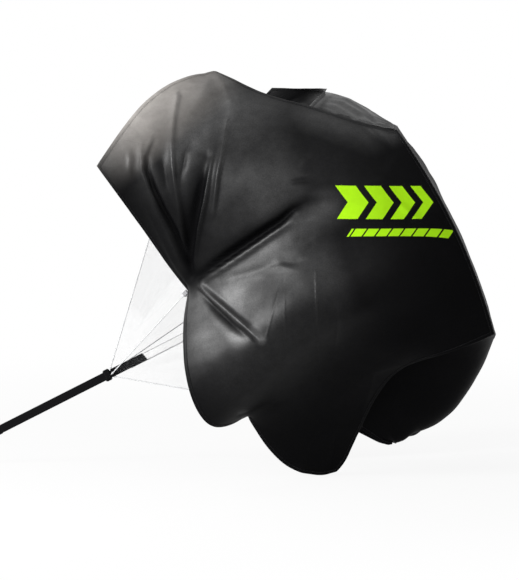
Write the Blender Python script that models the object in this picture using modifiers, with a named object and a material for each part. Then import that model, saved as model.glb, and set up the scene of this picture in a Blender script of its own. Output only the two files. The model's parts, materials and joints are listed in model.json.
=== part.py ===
"""Speed parachute for sprint training, blown open behind its tow strap.

Metres, +Z up. The air streams towards +X, so the canopy stands at the +X end and the waist belt at the
-X end. The canopy leans on two lobes of its hem and the belt stands on its keeper and buckle, so the
part rests on the floor. The origin is on the floor, below the middle of the whole part.
"""

import math

import bmesh
import bpy
from mathutils import Matrix, Vector
from mathutils.bvhtree import BVHTree

MM = 0.001

# Canopy. The chute frame has +X downwind along the tow line, -Y towards the viewer, +Z across the two.
CANOPY_DEPTH = 600 * MM
CANOPY_WIDTH = 840 * MM
CANOPY_HEIGHT = 840 * MM
CLOTH = 1.2 * MM
SEAM_GAP = 0.9 * MM
TOW_PITCH_DEG = 27.2
HEM_FLAT = 0.5 * MM

# Points of the canopy as shares of its depth, width and height, in the chute frame.
CROWN_CORNER_SHARES = {
    "near_top": (0.962, -0.280, 0.230),
    "near_bottom": (0.940, -0.280, -0.335),
    "far_top": (0.870, 0.280, 0.185),
    "far_bottom": (0.865, 0.280, -0.310),
}
CROWN_ARCH_SHARES = {
    "near": (0.045, -0.058, 0.0),
    "far": (0.005, 0.058, 0.0),
    "top": (0.010, 0.0, 0.020),
    "bottom": (0.0, 0.0, -0.020),
}
CROWN_BULGE_SHARES = (0.012, 0.0, 0.0)

# How full a panel still swells near its hem: 0 lets the swell run out evenly, 1 keeps it up to the hem.
HEM_FULLNESS_SHARES = {"near": 0.0, "far": 0.0, "top": 0.0, "bottom": 0.9}

# Each hem runs from one side of its panel to the other, and its side edges from the crown to the hem.
NEAR_HEM_SHARES = [
    (0.455, -0.175, 0.575),
    (0.248, -0.280, 0.592),
    (-0.024, -0.375, 0.494),
    (0.044, -0.288, 0.108),
    (-0.060, -0.432, -0.040),
    (-0.090, -0.413, -0.213),
    (0.034, -0.300, -0.238),
    (0.066, -0.262, -0.402),
    (0.215, -0.213, -0.480),
]
NEAR_TOP_EDGE_SHARES = [(0.860, -0.270, 0.285), (0.723, -0.238, 0.383), (0.610, -0.213, 0.447)]
NEAR_BOTTOM_EDGE_SHARES = [(0.751, -0.325, -0.324), (0.561, -0.295, -0.305), (0.353, -0.243, -0.403)]
NEAR_BULGE_SHARES = (0.0, -0.125, 0.0)

# The far panel's lower half mirrors the near one's, moved level against the wind by this much, so that
# the canopy stands on two like lobes.
FAR_LOBE_SHIFT = 34 * MM
FAR_UPPER_HEM_SHARES = [
    (0.430, 0.180, 0.490),
    (0.245, 0.285, 0.500),
    (0.010, 0.370, 0.415),
    (0.075, 0.288, 0.040),
]
FAR_TOP_EDGE_SHARES = [(0.780, 0.272, 0.235), (0.660, 0.238, 0.325), (0.560, 0.213, 0.385)]
FAR_BULGE_SHARES = (0.0, 0.125, 0.0)

TOP_HEM_SHARES = [
    (0.687, -0.188, 0.376),
    (0.783, -0.125, 0.398),
    (0.578, 0.088, 0.456),
    (0.034, 0.050, 0.319),
    (0.320, 0.150, 0.415),
    (0.590, 0.180, 0.365),
    (0.640, 0.180, 0.290),
]
TOP_NEAR_EDGE_SHARES = [(0.885, -0.242, 0.268), (0.785, -0.215, 0.325)]
TOP_FAR_EDGE_SHARES = [(0.795, 0.245, 0.198), (0.715, 0.215, 0.248)]
TOP_BULGE_SHARES = (0.0, 0.0, 0.060)

BOTTOM_HEM_SHARES = [
    (0.343, -0.180, -0.393),
    (0.400, -0.138, -0.476),
    (0.260, -0.050, -0.360),
    (0.128, -0.083, -0.267),
    (0.235, 0.075, -0.355),
    (0.411, 0.145, -0.486),
    (0.345, 0.185, -0.400),
]
BOTTOM_NEAR_EDGE_SHARES = [(0.745, -0.262, -0.316), (0.535, -0.240, -0.285)]
BOTTOM_FAR_EDGE_SHARES = [(0.690, 0.262, -0.320), (0.530, 0.232, -0.322)]
BOTTOM_BULGE_SHARES = (-0.050, 0.0, -0.230)

SIDE_SHARP = (2, 3, 6)
TOP_SHARP = (1, 2, 3, 5)
BOTTOM_SHARP = (1, 3, 5)
PINCH_COLUMN = 3

# Tow line: 20 mm webbing, black outside the canopy and pale inside it, turned about its own length.
WEBBING_WIDTH = 20 * MM
WEBBING = 1.6 * MM
WEBBING_TURN_DEG = -33.0
CLEARANCE = 0.4 * MM
TETHER_INNER_END_X = -147 * MM
STRAP_LAP = 36 * MM
TETHER_RETURN = 48 * MM
EASE_LENGTH = 30 * MM
COLLAR_X = -236 * MM
COLLAR_LENGTH = 14 * MM
COLLAR_WALL = 2.6 * MM
COLLAR_EDGE_WALL = 1.2 * MM
PATCH_SIDE = 46 * MM

# Riser cords run from the collar to the four places where the hem is gathered.
RISER_DIAMETER = 2.5 * MM
HEM_LOOP_LENGTH = 16 * MM
HEM_LOOP_BORE = 4.0 * MM
HEM_LOOP_TAPE = 1.0 * MM
HEM_LOOP_WIDTH = 9 * MM
RISER_ROOT_SHARES = {"near": (-1, -0.20), "top": (-1, 0.30), "far": (1, 0.20), "bottom": (1, -0.30)}

# Net panels between neighbouring risers.
NET = 0.8 * MM
NET_SIDE_GAP = 2.1 * MM
NET_START_SHARE = 0.05
NET_BELLY_SHARE = 0.10
NET_SCALLOP_SHARE = 0.16

# Swivel eye and snap hook, in steel wire and casting.
EYE_WIRE = 3.6 * MM
EYE_DEPTH = 12 * MM
EYE_CORNER = 4 * MM
STEM_DIAMETER = 4.4 * MM
STEM_HEAD_DIAMETER = 7 * MM
STEM_HEAD = 2 * MM
STEM_FLANGE_DIAMETER = 10 * MM
STEM_FLANGE = 2.5 * MM
HOOK_WIRE = 5 * MM
HOOK_BIGHT_RADIUS = 9 * MM
HOOK_MOUTH_LENGTH = 30 * MM
HOOK_NOSE = 6 * MM
HOOK_HEAD_LENGTH = 12 * MM
HOOK_HEAD_WIDTH = 26 * MM
HOOK_HEAD_THICKNESS = 10 * MM
HOOK_EDGE = 1.6 * MM
GATE_THICKNESS = 4.6 * MM
GATE_EYE_DIAMETER = 6.5 * MM
GATE_PIN_DIAMETER = 2.4 * MM
GATE_SLOT_SIDE = 0.5 * MM

# D-ring, its plane upright and its straight bar in the keeper's barrel.
RING_WIRE = 4 * MM
RING_HEIGHT = 30 * MM
RING_DEPTH = 22 * MM
RING_CORNER = 5 * MM

# Keeper: a moulded slide on the belt with a barrel for the ring's bar.
BELT_WIDTH = 38 * MM
KEEPER_HEIGHT = 46 * MM
KEEPER_WIDTH = 44 * MM
KEEPER_WALL = 2.6 * MM
KEEPER_EDGE = 1.2 * MM
BARREL_DIAMETER = 9 * MM
BARREL_LENGTH = 20 * MM
BARREL_GAP = 0.4 * MM

# Belt: a closed loop on its edge, with long runs across the tow line.
BELT_RUN = 380 * MM
BELT_SPREAD = 100 * MM
BELT_TAIL = 110 * MM
BELT_SEWN_RETURN = 42 * MM
LAYER_GAP = 0.5 * MM

# Side-release buckle on the run away from the canopy.
BUCKLE_HEIGHT = 46 * MM
BUCKLE_THICKNESS = 11 * MM
BUCKLE_EDGE = 1.4 * MM
BUCKLE_SPLIT = 0.6 * MM
FEMALE_LENGTH = 40 * MM
MALE_LENGTH = 22 * MM
BUCKLE_BAR = 4 * MM
BUCKLE_BAR_INSET = 3.5 * MM
BUCKLE_SLOT = 5.5 * MM
POCKET_DEPTH = 26 * MM
POCKET_WALL = 2.2 * MM
POCKET_SIDE_WALL = 3 * MM
PRONG = 3 * MM
PRONG_LENGTH = 22 * MM
PRONG_OFFSET = 16.5 * MM
BARB_LENGTH = 9 * MM
BARB_HEIGHT = 4.2 * MM
TONGUE_WIDTH = 6 * MM
TONGUE_LENGTH = 20 * MM
PRONG_CLEARANCE = 0.5 * MM

# Elastic loop that holds the belt's tail.
TAIL_LOOP_WIDTH = 14 * MM
TAIL_LOOP_WALL = 1.2 * MM
TAIL_LOOP_PLACE_SHARE = 0.55

SEAT_PROBES = (-1.0, -0.5, 0.0, 0.5, 1.0)

OVERRUN = 2 * MM
CREASE = 1.0
FINE_LEVELS = 2
CROWN_LEVELS = 1
NET_ROWS = 6
NET_COLUMNS = 7
TUBE_STEPS = 3
ARC_STEPS = 10

COLOURS = {
    "canopy_cloth": ((0.016, 0.016, 0.018), 0.42, 0.0),
    "net_cloth": ((0.86, 0.87, 0.88), 0.7, 0.0),
    "black_webbing": ((0.012, 0.012, 0.013), 0.75, 0.0),
    "pale_webbing": ((0.80, 0.80, 0.78), 0.75, 0.0),
    "cord": ((0.55, 0.56, 0.57), 0.6, 0.0),
    "steel": ((0.62, 0.63, 0.65), 0.28, 1.0),
    "black_plastic": ((0.018, 0.018, 0.020), 0.45, 0.0),
}


def clear_scene():
    """Removes whatever the open file holds."""
    for old in list(bpy.data.objects):
        bpy.data.objects.remove(old, do_unlink=True)


def new_collection(name):
    found = bpy.data.collections.new(name)
    bpy.context.scene.collection.children.link(found)
    return found


def material(slot, owner):
    """A material of the slot's colour for one piece."""
    colour, roughness, metallic = COLOURS[slot]
    made = bpy.data.materials.new(owner + "_" + slot)
    made.use_nodes = True
    shader = made.node_tree.nodes["Principled BSDF"]
    shader.inputs["Base Color"].default_value = (*colour, 1.0)
    shader.inputs["Roughness"].default_value = roughness
    shader.inputs["Metallic"].default_value = metallic
    return made


def empty(name, parent=None, at=(0, 0, 0), turn=(0, 0, 0)):
    """A frame to model in, placed under its parent. The turn is in degrees about X, Y and Z."""
    made = bpy.data.objects.new(name, None)
    PARTS.objects.link(made)
    made.parent = parent
    made.location = at
    made.rotation_euler = [math.radians(a) for a in turn]
    return made


def finish_object(name, data, slot, parent):
    """Links a piece's mesh or curve under its parent frame."""
    made = bpy.data.objects.new(name, data)
    PARTS.objects.link(made)
    made.parent = parent
    data.materials.append(material(slot, name))
    return made


def mesh_object(name, bm, slot, parent, smooth_deg=40):
    """Turns a bmesh into a piece, its faces out and its round sides smooth."""
    mesh = bpy.data.meshes.new(name)
    bm.to_mesh(mesh)
    bm.free()
    mesh.shade_smooth()
    mesh.set_sharp_from_angle(angle=math.radians(smooth_deg))
    return finish_object(name, mesh, slot, parent)


def evaluated_mesh(obj):
    """The piece's mesh as its modifiers leave it, in its own frame."""
    bpy.context.view_layer.update()
    graph = bpy.context.evaluated_depsgraph_get()
    return bpy.data.meshes.new_from_object(obj.evaluated_get(graph))


def cutter(name, bm, parent):
    """A tool shape for Booleans, kept out of the part."""
    mesh = bpy.data.meshes.new(name)
    bm.to_mesh(mesh)
    bm.free()
    made = bpy.data.objects.new(name, mesh)
    CUTTERS.objects.link(made)
    made.parent = parent
    made.hide_render = True
    made.display_type = "WIRE"
    return made


def boolean(obj, tool, operation="DIFFERENCE"):
    step = obj.modifiers.new(tool.name, "BOOLEAN")
    step.operation = operation
    step.object = tool
    step.solver = "EXACT"


def box(low, high, edge=0.0):
    """A block between two corners, its edges rounded by the given radius."""
    bm = bmesh.new()
    bmesh.ops.create_cube(bm, size=1.0)
    low, high = Vector(low), Vector(high)
    middle = (low + high) / 2
    for v in bm.verts:
        v.co = Vector([m + c * (h - n) for m, c, h, n in zip(middle, v.co, high, low)])
    if edge:
        bmesh.ops.bevel(
            bm, geom=list(bm.edges), offset=edge, segments=2, profile=0.5, affect="EDGES", material=-1
        )
    return bm


def cylinder(diameter, length, segments=24):
    """A cylinder along Z about the origin."""
    bm = bmesh.new()
    radius = diameter / 2
    bmesh.ops.create_cone(
        bm, cap_ends=True, segments=segments, radius1=radius, radius2=radius, depth=length
    )
    return bm


def moved(bm, at=(0, 0, 0), turn=(0, 0, 0)):
    """Turns a bmesh about X, then Y, then Z, in degrees, and moves it."""
    for angle, axis in zip(turn, "XYZ"):
        bmesh.ops.rotate(bm, verts=bm.verts, matrix=Matrix.Rotation(math.radians(angle), 3, axis))
    bmesh.ops.translate(bm, verts=bm.verts, vec=Vector(at))
    return bm


def tube(name, points, diameter, slot, parent, cyclic=False):
    """A wire or cord along its points, as a curve with a round section and caps."""
    curve = bpy.data.curves.new(name, "CURVE")
    curve.dimensions = "3D"
    curve.bevel_depth = diameter / 2
    curve.bevel_resolution = TUBE_STEPS
    curve.use_fill_caps = not cyclic
    line = curve.splines.new("POLY")
    line.points.add(len(points) - 1)
    for p, co in zip(line.points, points):
        p.co = (*co, 1.0)
    line.use_cyclic_u = cyclic
    line.use_smooth = True
    return finish_object(name, curve, slot, parent)


def tube_as_mesh(obj):
    """Makes a tube a mesh whose caps are welded on, so that it can be cut or joined."""
    mesh = evaluated_mesh(obj)
    bm = bmesh.new()
    bm.from_mesh(mesh)
    bmesh.ops.remove_doubles(bm, verts=bm.verts, dist=0.01 * CLEARANCE)
    bmesh.ops.recalc_face_normals(bm, faces=bm.faces)
    bm.to_mesh(mesh)
    bm.free()
    made = bpy.data.objects.new(obj.name, mesh)
    PARTS.objects.link(made)
    made.parent = obj.parent
    made.matrix_local = obj.matrix_local
    name = obj.name
    bpy.data.objects.remove(obj, do_unlink=True)
    made.name = name
    return made


def arc(centre, radius, start_deg, end_deg, steps=ARC_STEPS):
    """Points on an arc in the XY plane, both ends included."""
    turns = [math.radians(start_deg + (end_deg - start_deg) * k / steps) for k in range(steps + 1)]
    return [(centre[0] + radius * math.cos(a), centre[1] + radius * math.sin(a)) for a in turns]


def ribbon(name, path, width, thickness, slot, parent):
    """Webbing on edge: a line in the XY plane, raised along Z to its width and given its thickness."""
    bm = bmesh.new()
    row = [bm.verts.new((x, y, -width / 2)) for x, y in path]
    edges = [bm.edges.new(pair) for pair in zip(row, row[1:])]
    raised = bmesh.ops.extrude_edge_only(bm, edges=edges)["geom"]
    upper = [v for v in raised if isinstance(v, bmesh.types.BMVert)]
    bmesh.ops.translate(bm, verts=upper, vec=(0, 0, width))
    made = mesh_object(name, bm, slot, parent)
    wall = made.modifiers.new("thickness", "SOLIDIFY")
    wall.thickness = thickness
    wall.offset = 0
    wall.use_even_offset = True
    return made


def eased(x0, y0, x1, y1, steps=6):
    """Points from one place to another, level at both ends, along X."""
    found = []
    for k in range(steps + 1):
        t = k / steps
        found.append((x0 + (x1 - x0) * t, y0 + (y1 - y0) * t * t * (3 - 2 * t)))
    return found


def in_canopy(shares):
    """A point of the chute frame from its shares of the canopy's three sizes."""
    return Vector((shares[0] * CANOPY_DEPTH, shares[1] * CANOPY_WIDTH, shares[2] * CANOPY_HEIGHT))


def mirrored(shares):
    return [(x, -y, z) for x, y, z in shares]


def moved_level(shares):
    """Moves points level against the wind, so that they keep their height above the floor."""
    pitch = math.radians(TOW_PITCH_DEG)
    dx = FAR_LOBE_SHIFT * math.cos(pitch) / CANOPY_DEPTH
    dz = FAR_LOBE_SHIFT * math.sin(pitch) / CANOPY_HEIGHT
    return [(x - dx, y, z + dz) for x, y, z in shares]


def arched(start, end, arch, count):
    """A line of points that bows by the arch in its middle."""
    found = []
    for k in range(count):
        t = k / (count - 1)
        found.append(start.lerp(end, t) + arch * (4 * t * (1 - t)))
    return found


def coons_grid(crown, hem, first_side, last_side, bulge, fullness=0.0):
    """Rows of points that span four border lines and swell by the bulge in the middle.

    The fullness spreads the swell sideways, the more so the nearer to the hem.
    """
    rows, columns = len(first_side), len(hem)
    grid = []
    for i in range(rows):
        v = i / (rows - 1)
        line = []
        for j in range(columns):
            u = j / (columns - 1)
            across = crown[j].lerp(hem[j], v)
            along = first_side[i].lerp(last_side[i], u)
            corners = crown[0].lerp(crown[-1], u).lerp(hem[0].lerp(hem[-1], u), v)
            spread = max(0.0, math.sin(math.pi * u)) ** (1 - fullness * v)
            swell = spread * math.sin(math.pi * v)
            line.append(across + along - corners + bulge * swell)
        grid.append(line)
    return grid


def drawn_through(line, sharp):
    """Moves the smooth points of a border out, so that its rounded line passes through them."""
    kept = [p.copy() for p in line]
    for k in range(1, len(line) - 1):
        if k not in sharp:
            kept[k] = line[k] + (2 * line[k] - line[k - 1] - line[k + 1]) / 6
    return kept


def draw_borders_through(grid, hem_sharp):
    """Applies drawn_through to the four borders of a grid of points."""
    last = len(grid[0]) - 1
    grid[0] = drawn_through(grid[0], ())
    grid[-1] = drawn_through(grid[-1], hem_sharp)
    for column in (0, last):
        line = drawn_through([row[column] for row in grid], ())
        for row, point in zip(grid, line):
            row[column] = point
    return grid


def cloth_sheet(name, grid, thickness, slot, parent, levels, hem_sharp=()):
    """A sheet over a grid of points: rounded by subdivision, sharp where told, and given a thickness."""
    rows, columns = len(grid), len(grid[0])
    bm = bmesh.new()
    bmesh.ops.create_grid(bm, x_segments=columns - 1, y_segments=rows - 1, size=1.0)
    crease = bm.verts.layers.float.new("crease_vert")
    ordered = sorted(bm.verts, key=lambda v: (round(v.co.y, 4), round(v.co.x, 4)))
    for k, v in enumerate(ordered):
        i, j = divmod(k, columns)
        v.co = grid[i][j]
        if i == rows - 1 and j in hem_sharp:
            v[crease] = CREASE
    made = mesh_object(name, bm, slot, parent, smooth_deg=60)
    rounding = made.modifiers.new("rounding", "SUBSURF")
    rounding.levels = levels
    rounding.render_levels = levels
    rounding.boundary_smooth = "PRESERVE_CORNERS"
    wall = made.modifiers.new("thickness", "SOLIDIFY")
    wall.thickness = thickness
    wall.offset = 0
    return made


def crown_corners():
    return {k: in_canopy(s) for k, s in CROWN_CORNER_SHARES.items()}


def crown_edge(side, count):
    """The crown's edge towards one side panel, in the order of that panel's columns."""
    ends = {
        "near": ("near_top", "near_bottom"),
        "far": ("far_top", "far_bottom"),
        "top": ("near_top", "far_top"),
        "bottom": ("near_bottom", "far_bottom"),
    }[side]
    corners = crown_corners()
    return arched(corners[ends[0]], corners[ends[1]], in_canopy(CROWN_ARCH_SHARES[side]), count)


def side_panel_grid(side, hem_shares, first_shares, last_shares, bulge_shares, sharp):
    """Points of one side panel, from the crown's edge, less the seam's gap, to the hem."""
    outward = {"near": (0, -1, 0), "far": (0, 1, 0), "top": (0, 0, 1), "bottom": (0, 0, -1)}[side]
    step = Vector(outward) * SEAM_GAP
    crown = [p + step for p in crown_edge(side, len(hem_shares))]
    hem = [in_canopy(s) for s in hem_shares]
    first = [crown[0], *[in_canopy(s) for s in first_shares], hem[0]]
    last = [crown[-1], *[in_canopy(s) for s in last_shares], hem[-1]]
    grid = coons_grid(crown, hem, first, last, in_canopy(bulge_shares), HEM_FULLNESS_SHARES[side])
    return draw_borders_through(grid, sharp)


def build_crown():
    """The crown panel, whose four edges meet the side panels."""
    columns, rows = len(NEAR_HEM_SHARES), len(TOP_HEM_SHARES)
    near, far = crown_edge("near", columns), crown_edge("far", columns)
    top, bottom = crown_edge("top", rows), crown_edge("bottom", rows)
    grid = coons_grid(near, far, top, bottom, in_canopy(CROWN_BULGE_SHARES))
    return cloth_sheet(
        "crown_panel", draw_borders_through(grid, ()), CLOTH, "canopy_cloth", CHUTE, CROWN_LEVELS
    )


def build_side_panels():
    """The four flared side panels. Returns them by side."""
    far_hem = FAR_UPPER_HEM_SHARES + moved_level(mirrored(NEAR_HEM_SHARES[PINCH_COLUMN + 1 :]))
    far_bottom_edge = moved_level(mirrored(NEAR_BOTTOM_EDGE_SHARES))
    plans = {
        "near": (NEAR_HEM_SHARES, NEAR_TOP_EDGE_SHARES, NEAR_BOTTOM_EDGE_SHARES, NEAR_BULGE_SHARES, SIDE_SHARP),
        "far": (far_hem, FAR_TOP_EDGE_SHARES, far_bottom_edge, FAR_BULGE_SHARES, SIDE_SHARP),
        "top": (TOP_HEM_SHARES, TOP_NEAR_EDGE_SHARES, TOP_FAR_EDGE_SHARES, TOP_BULGE_SHARES, TOP_SHARP),
        "bottom": (
            BOTTOM_HEM_SHARES,
            BOTTOM_NEAR_EDGE_SHARES,
            BOTTOM_FAR_EDGE_SHARES,
            BOTTOM_BULGE_SHARES,
            BOTTOM_SHARP,
        ),
    }
    made = {}
    for side, (hem, first, last, bulge, sharp) in plans.items():
        grid = side_panel_grid(side, hem, first, last, bulge, sharp)
        made[side] = cloth_sheet(
            side + "_panel", grid, CLOTH, "canopy_cloth", CHUTE, FINE_LEVELS, sharp
        )
    return made


def pinches():
    """The four gathered places of the hem, by side, in the chute frame."""
    return {
        "near": in_canopy(NEAR_HEM_SHARES[PINCH_COLUMN]),
        "top": in_canopy(TOP_HEM_SHARES[PINCH_COLUMN]),
        "far": in_canopy(FAR_UPPER_HEM_SHARES[PINCH_COLUMN]),
        "bottom": in_canopy(BOTTOM_HEM_SHARES[PINCH_COLUMN]),
    }


def lowest_in_world(objects):
    """The lowest height that the pieces reach, with their frames as they stand now."""
    lowest = []
    for obj in objects:
        mesh = evaluated_mesh(obj)
        lowest.append(min((obj.matrix_world @ v.co).z for v in mesh.vertices))
        bpy.data.meshes.remove(mesh)
    return min(lowest)


def riser_roots():
    """Where each riser leaves the collar, in the chute frame."""
    found = {}
    offset = WEBBING / 2 + CLEARANCE + RISER_DIAMETER / 2
    for side, (face, share) in RISER_ROOT_SHARES.items():
        start_x = COLLAR_X + COLLAR_LENGTH / 2 + RISER_DIAMETER / 2 + CLEARANCE
        local = Vector((start_x, face * offset, share * WEBBING_WIDTH))
        found[side] = Matrix.Rotation(math.radians(WEBBING_TURN_DEG), 3, "X") @ local
    return found


def hem_loop_front(root, pinch):
    """Where a riser ends, at the front of its hem loop, and the direction from there to the pinch."""
    towards = (pinch - root).normalized()
    return pinch - towards * (HEM_LOOP_LENGTH + 2 * CLEARANCE), towards


def build_hem_loops_and_risers():
    """A folded tape loop at each pinch and the cord that pulls on it."""
    roots = riser_roots()
    for side, pinch in pinches().items():
        front, towards = hem_loop_front(roots[side], pinch)
        tube("riser_" + side, [roots[side], front], RISER_DIAMETER, "cord", CHUTE)
        seat = empty("hem_loop_seat_" + side, CHUTE, pinch - towards * (HEM_LOOP_LENGTH / 2 + CLEARANCE))
        seat.rotation_mode = "QUATERNION"
        seat.rotation_quaternion = towards.to_track_quat("X", "Z")
        half = HEM_LOOP_LENGTH / 2 - HEM_LOOP_BORE / 2 - HEM_LOOP_TAPE
        mid = (HEM_LOOP_BORE + HEM_LOOP_TAPE) / 2
        outline = arc((half, 0), mid, -90, 90) + arc((-half, 0), mid, 90, 270)
        closed_band("hem_loop_" + side, outline, HEM_LOOP_WIDTH, HEM_LOOP_TAPE, "black_webbing", seat)


def closed_band(name, outline, width, thickness, slot, parent):
    """A band around a closed outline in the XY plane, raised along Z."""
    bm = bmesh.new()
    row = [bm.verts.new((x, y, -width / 2)) for x, y in outline]
    edges = [bm.edges.new(pair) for pair in zip(row, row[1:] + row[:1])]
    raised = bmesh.ops.extrude_edge_only(bm, edges=edges)["geom"]
    upper = [v for v in raised if isinstance(v, bmesh.types.BMVert)]
    bmesh.ops.translate(bm, verts=upper, vec=(0, 0, width))
    bmesh.ops.recalc_face_normals(bm, faces=bm.faces)
    made = mesh_object(name, bm, slot, parent)
    wall = made.modifiers.new("thickness", "SOLIDIFY")
    wall.thickness = thickness
    wall.offset = 0
    return made


def build_nets():
    """Four net panels, each between two risers, with a belly blown downwind and a scalloped rear edge."""
    order = ["near", "top", "far", "bottom"]
    roots, ends = riser_roots(), pinches()
    middle = sum(ends.values(), Vector()) / len(ends)
    for k, side in enumerate(order):
        other = order[(k + 1) % len(order)]
        rows = []
        first, last = hem_loop_front(roots[side], ends[side])[0], hem_loop_front(roots[other], ends[other])[0]
        for i in range(NET_ROWS):
            t = NET_START_SHARE + (1 - NET_START_SHARE) * i / (NET_ROWS - 1)
            a, b = roots[side].lerp(first, t), roots[other].lerp(last, t)
            inset = (b - a).normalized() * NET_SIDE_GAP
            a, b = a + inset, b - inset
            line = []
            for j in range(NET_COLUMNS):
                u = j / (NET_COLUMNS - 1)
                hump = 4 * u * (1 - u)
                point = a.lerp(b, u)
                sag = (middle - point) * NET_SCALLOP_SHARE * hump * t
                blow = Vector((CANOPY_DEPTH * NET_BELLY_SHARE * hump * t * t, 0, 0))
                line.append(point + sag + blow)
            rows.append(line)
        cloth_sheet("net_%s_%s" % (side, other), rows, NET, "net_cloth", CHUTE, 1)


def build_collar():
    """The stitched sleeve that holds net and risers to the strap."""
    half_length = COLLAR_LENGTH / 2
    half_width = WEBBING_WIDTH / 2 + CLEARANCE
    half_slot = WEBBING / 2 + CLEARANCE
    low = (COLLAR_X - half_length, -half_slot - COLLAR_WALL, -half_width - COLLAR_EDGE_WALL)
    high = (COLLAR_X + half_length, half_slot + COLLAR_WALL, half_width + COLLAR_EDGE_WALL)
    sleeve = mesh_object("net_collar", box(low, high, COLLAR_EDGE_WALL / 2), "black_webbing", STRAPS)
    low = (COLLAR_X - half_length - OVERRUN, -half_slot, -half_width)
    high = (COLLAR_X + half_length + OVERRUN, half_slot, half_width)
    boolean(sleeve, cutter("collar_slot", box(low, high), STRAPS))


def turn_back(bar_x, start_y, end_y, radius, arrive_x, leave_x, leave_y):
    """A strap's line that eases to a bar, goes round it on its -X side and eases back beside itself."""
    line = eased(arrive_x, start_y, bar_x, -radius)
    line += arc((bar_x, 0), radius, 270, 90)[1:]
    line += eased(bar_x, radius, leave_x, leave_y)[1:]
    line.append((end_y, leave_y))
    return line


def patch_seat(crown):
    """Where the patch lies flat inside the crown without touching it, and the way it faces."""
    mesh = evaluated_mesh(crown)
    tree = BVHTree.FromPolygons([v.co for v in mesh.vertices], [tuple(p.vertices) for p in mesh.polygons])
    bpy.data.meshes.remove(mesh)
    hit, normal = tree.ray_cast(Vector((0, 0, 0)), Vector((1, 0, 0)))[:2]
    if normal.x > 0:
        normal = -normal
    turn = normal.to_track_quat("X", "Z").to_matrix()
    nearest = PATCH_SIDE
    for y in SEAT_PROBES:
        for z in SEAT_PROBES:
            start = hit + turn @ (Vector((1, y, z)) * PATCH_SIDE / 2)
            nearest = min(nearest, tree.ray_cast(start, -normal)[3])
    return hit + normal * (PATCH_SIDE / 2 - nearest + WEBBING / 2 + CLEARANCE), normal


def build_straps(crown):
    """The black tether with its sewn bight, the pale inner strap, and its patch inside the crown."""
    radius = (EYE_WIRE + WEBBING) / 2 + CLEARANCE
    ease_x = EYE_BAR_X + EASE_LENGTH
    layer = WEBBING + LAYER_GAP
    line = [(TETHER_INNER_END_X, 0)]
    line += turn_back(EYE_BAR_X, 0, EYE_BAR_X + TETHER_RETURN, radius, ease_x, ease_x, layer)
    ribbon("tether_strap", line, WEBBING_WIDTH, WEBBING, "black_webbing", STRAPS)

    place, normal = patch_seat(crown)
    seat = empty("crown_patch_seat", CHUTE, place)
    seat.rotation_mode = "QUATERNION"
    seat.rotation_quaternion = normal.to_track_quat("X", "Z")
    half = PATCH_SIDE / 2
    patch = box((-WEBBING / 2, -half, -half), (WEBBING / 2, half, half), WEBBING / 4)
    mesh_object("crown_patch", patch, "black_webbing", seat)
    start = TETHER_INNER_END_X - STRAP_LAP
    lean = (abs(normal.y) + abs(normal.z)) / abs(normal.x)
    end = place.x - (WEBBING + lean * WEBBING_WIDTH) / 2 - 2 * CLEARANCE
    ribbon("inner_strap", [(start, layer), (end, layer)], WEBBING_WIDTH, WEBBING, "pale_webbing", STRAPS)


def eye_outline():
    """The swivel eye's wire, from the bar round to the stem, as a closed line in the XZ plane."""
    half = WEBBING_WIDTH / 2 + CLEARANCE + EYE_CORNER
    corner = EYE_CORNER
    left, right = EYE_BAR_X - EYE_DEPTH, EYE_BAR_X
    line = arc((right - corner, half - corner), corner, 0, 90, 4)
    line += arc((left + corner, half - corner), corner, 90, 180, 4)
    line += arc((left + corner, -half + corner), corner, 180, 270, 4)
    line += arc((right - corner, -half + corner), corner, 270, 360, 4)
    return [(x, 0, z) for x, z in line]


def build_swivel_eye():
    """The eye that the tether is sewn round, with its stem, flange and riveted head."""
    ring = tube_as_mesh(tube("swivel_eye", eye_outline(), EYE_WIRE, "steel", STRAPS, cyclic=True))
    head_x = HEAD_LOW_X - CLEARANCE
    flange_x = HEAD_HIGH_X + CLEARANCE
    left = EYE_BAR_X - EYE_DEPTH
    stem = moved(cylinder(STEM_DIAMETER, left - head_x + STEM_HEAD), ((left + head_x - STEM_HEAD) / 2, 0, 0), (0, 90, 0))
    head = moved(cylinder(STEM_HEAD_DIAMETER, STEM_HEAD), (head_x - STEM_HEAD / 2, 0, 0), (0, 90, 0))
    flange = moved(
        cylinder(STEM_FLANGE_DIAMETER, STEM_FLANGE), (flange_x + STEM_FLANGE / 2, 0, 0), (0, 90, 0)
    )
    for name, bm in (("eye_stem", stem), ("eye_head", head), ("eye_flange", flange)):
        boolean(ring, cutter(name, bm, STRAPS), "UNION")


def hook_outline():
    """The hook's wire: spine, bight and nose, as a line in the hook's XY plane."""
    r = HOOK_BIGHT_RADIUS
    line = [(HEAD_LOW_X + OVERRUN, -r), ((HEAD_LOW_X + BIGHT_X + r) / 2, -r)]
    line += arc((BIGHT_X + r, 0), r, 270, 90, 14)
    line.append((BIGHT_X + r + HOOK_NOSE, r))
    return [(x, y, 0) for x, y in line]


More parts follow.
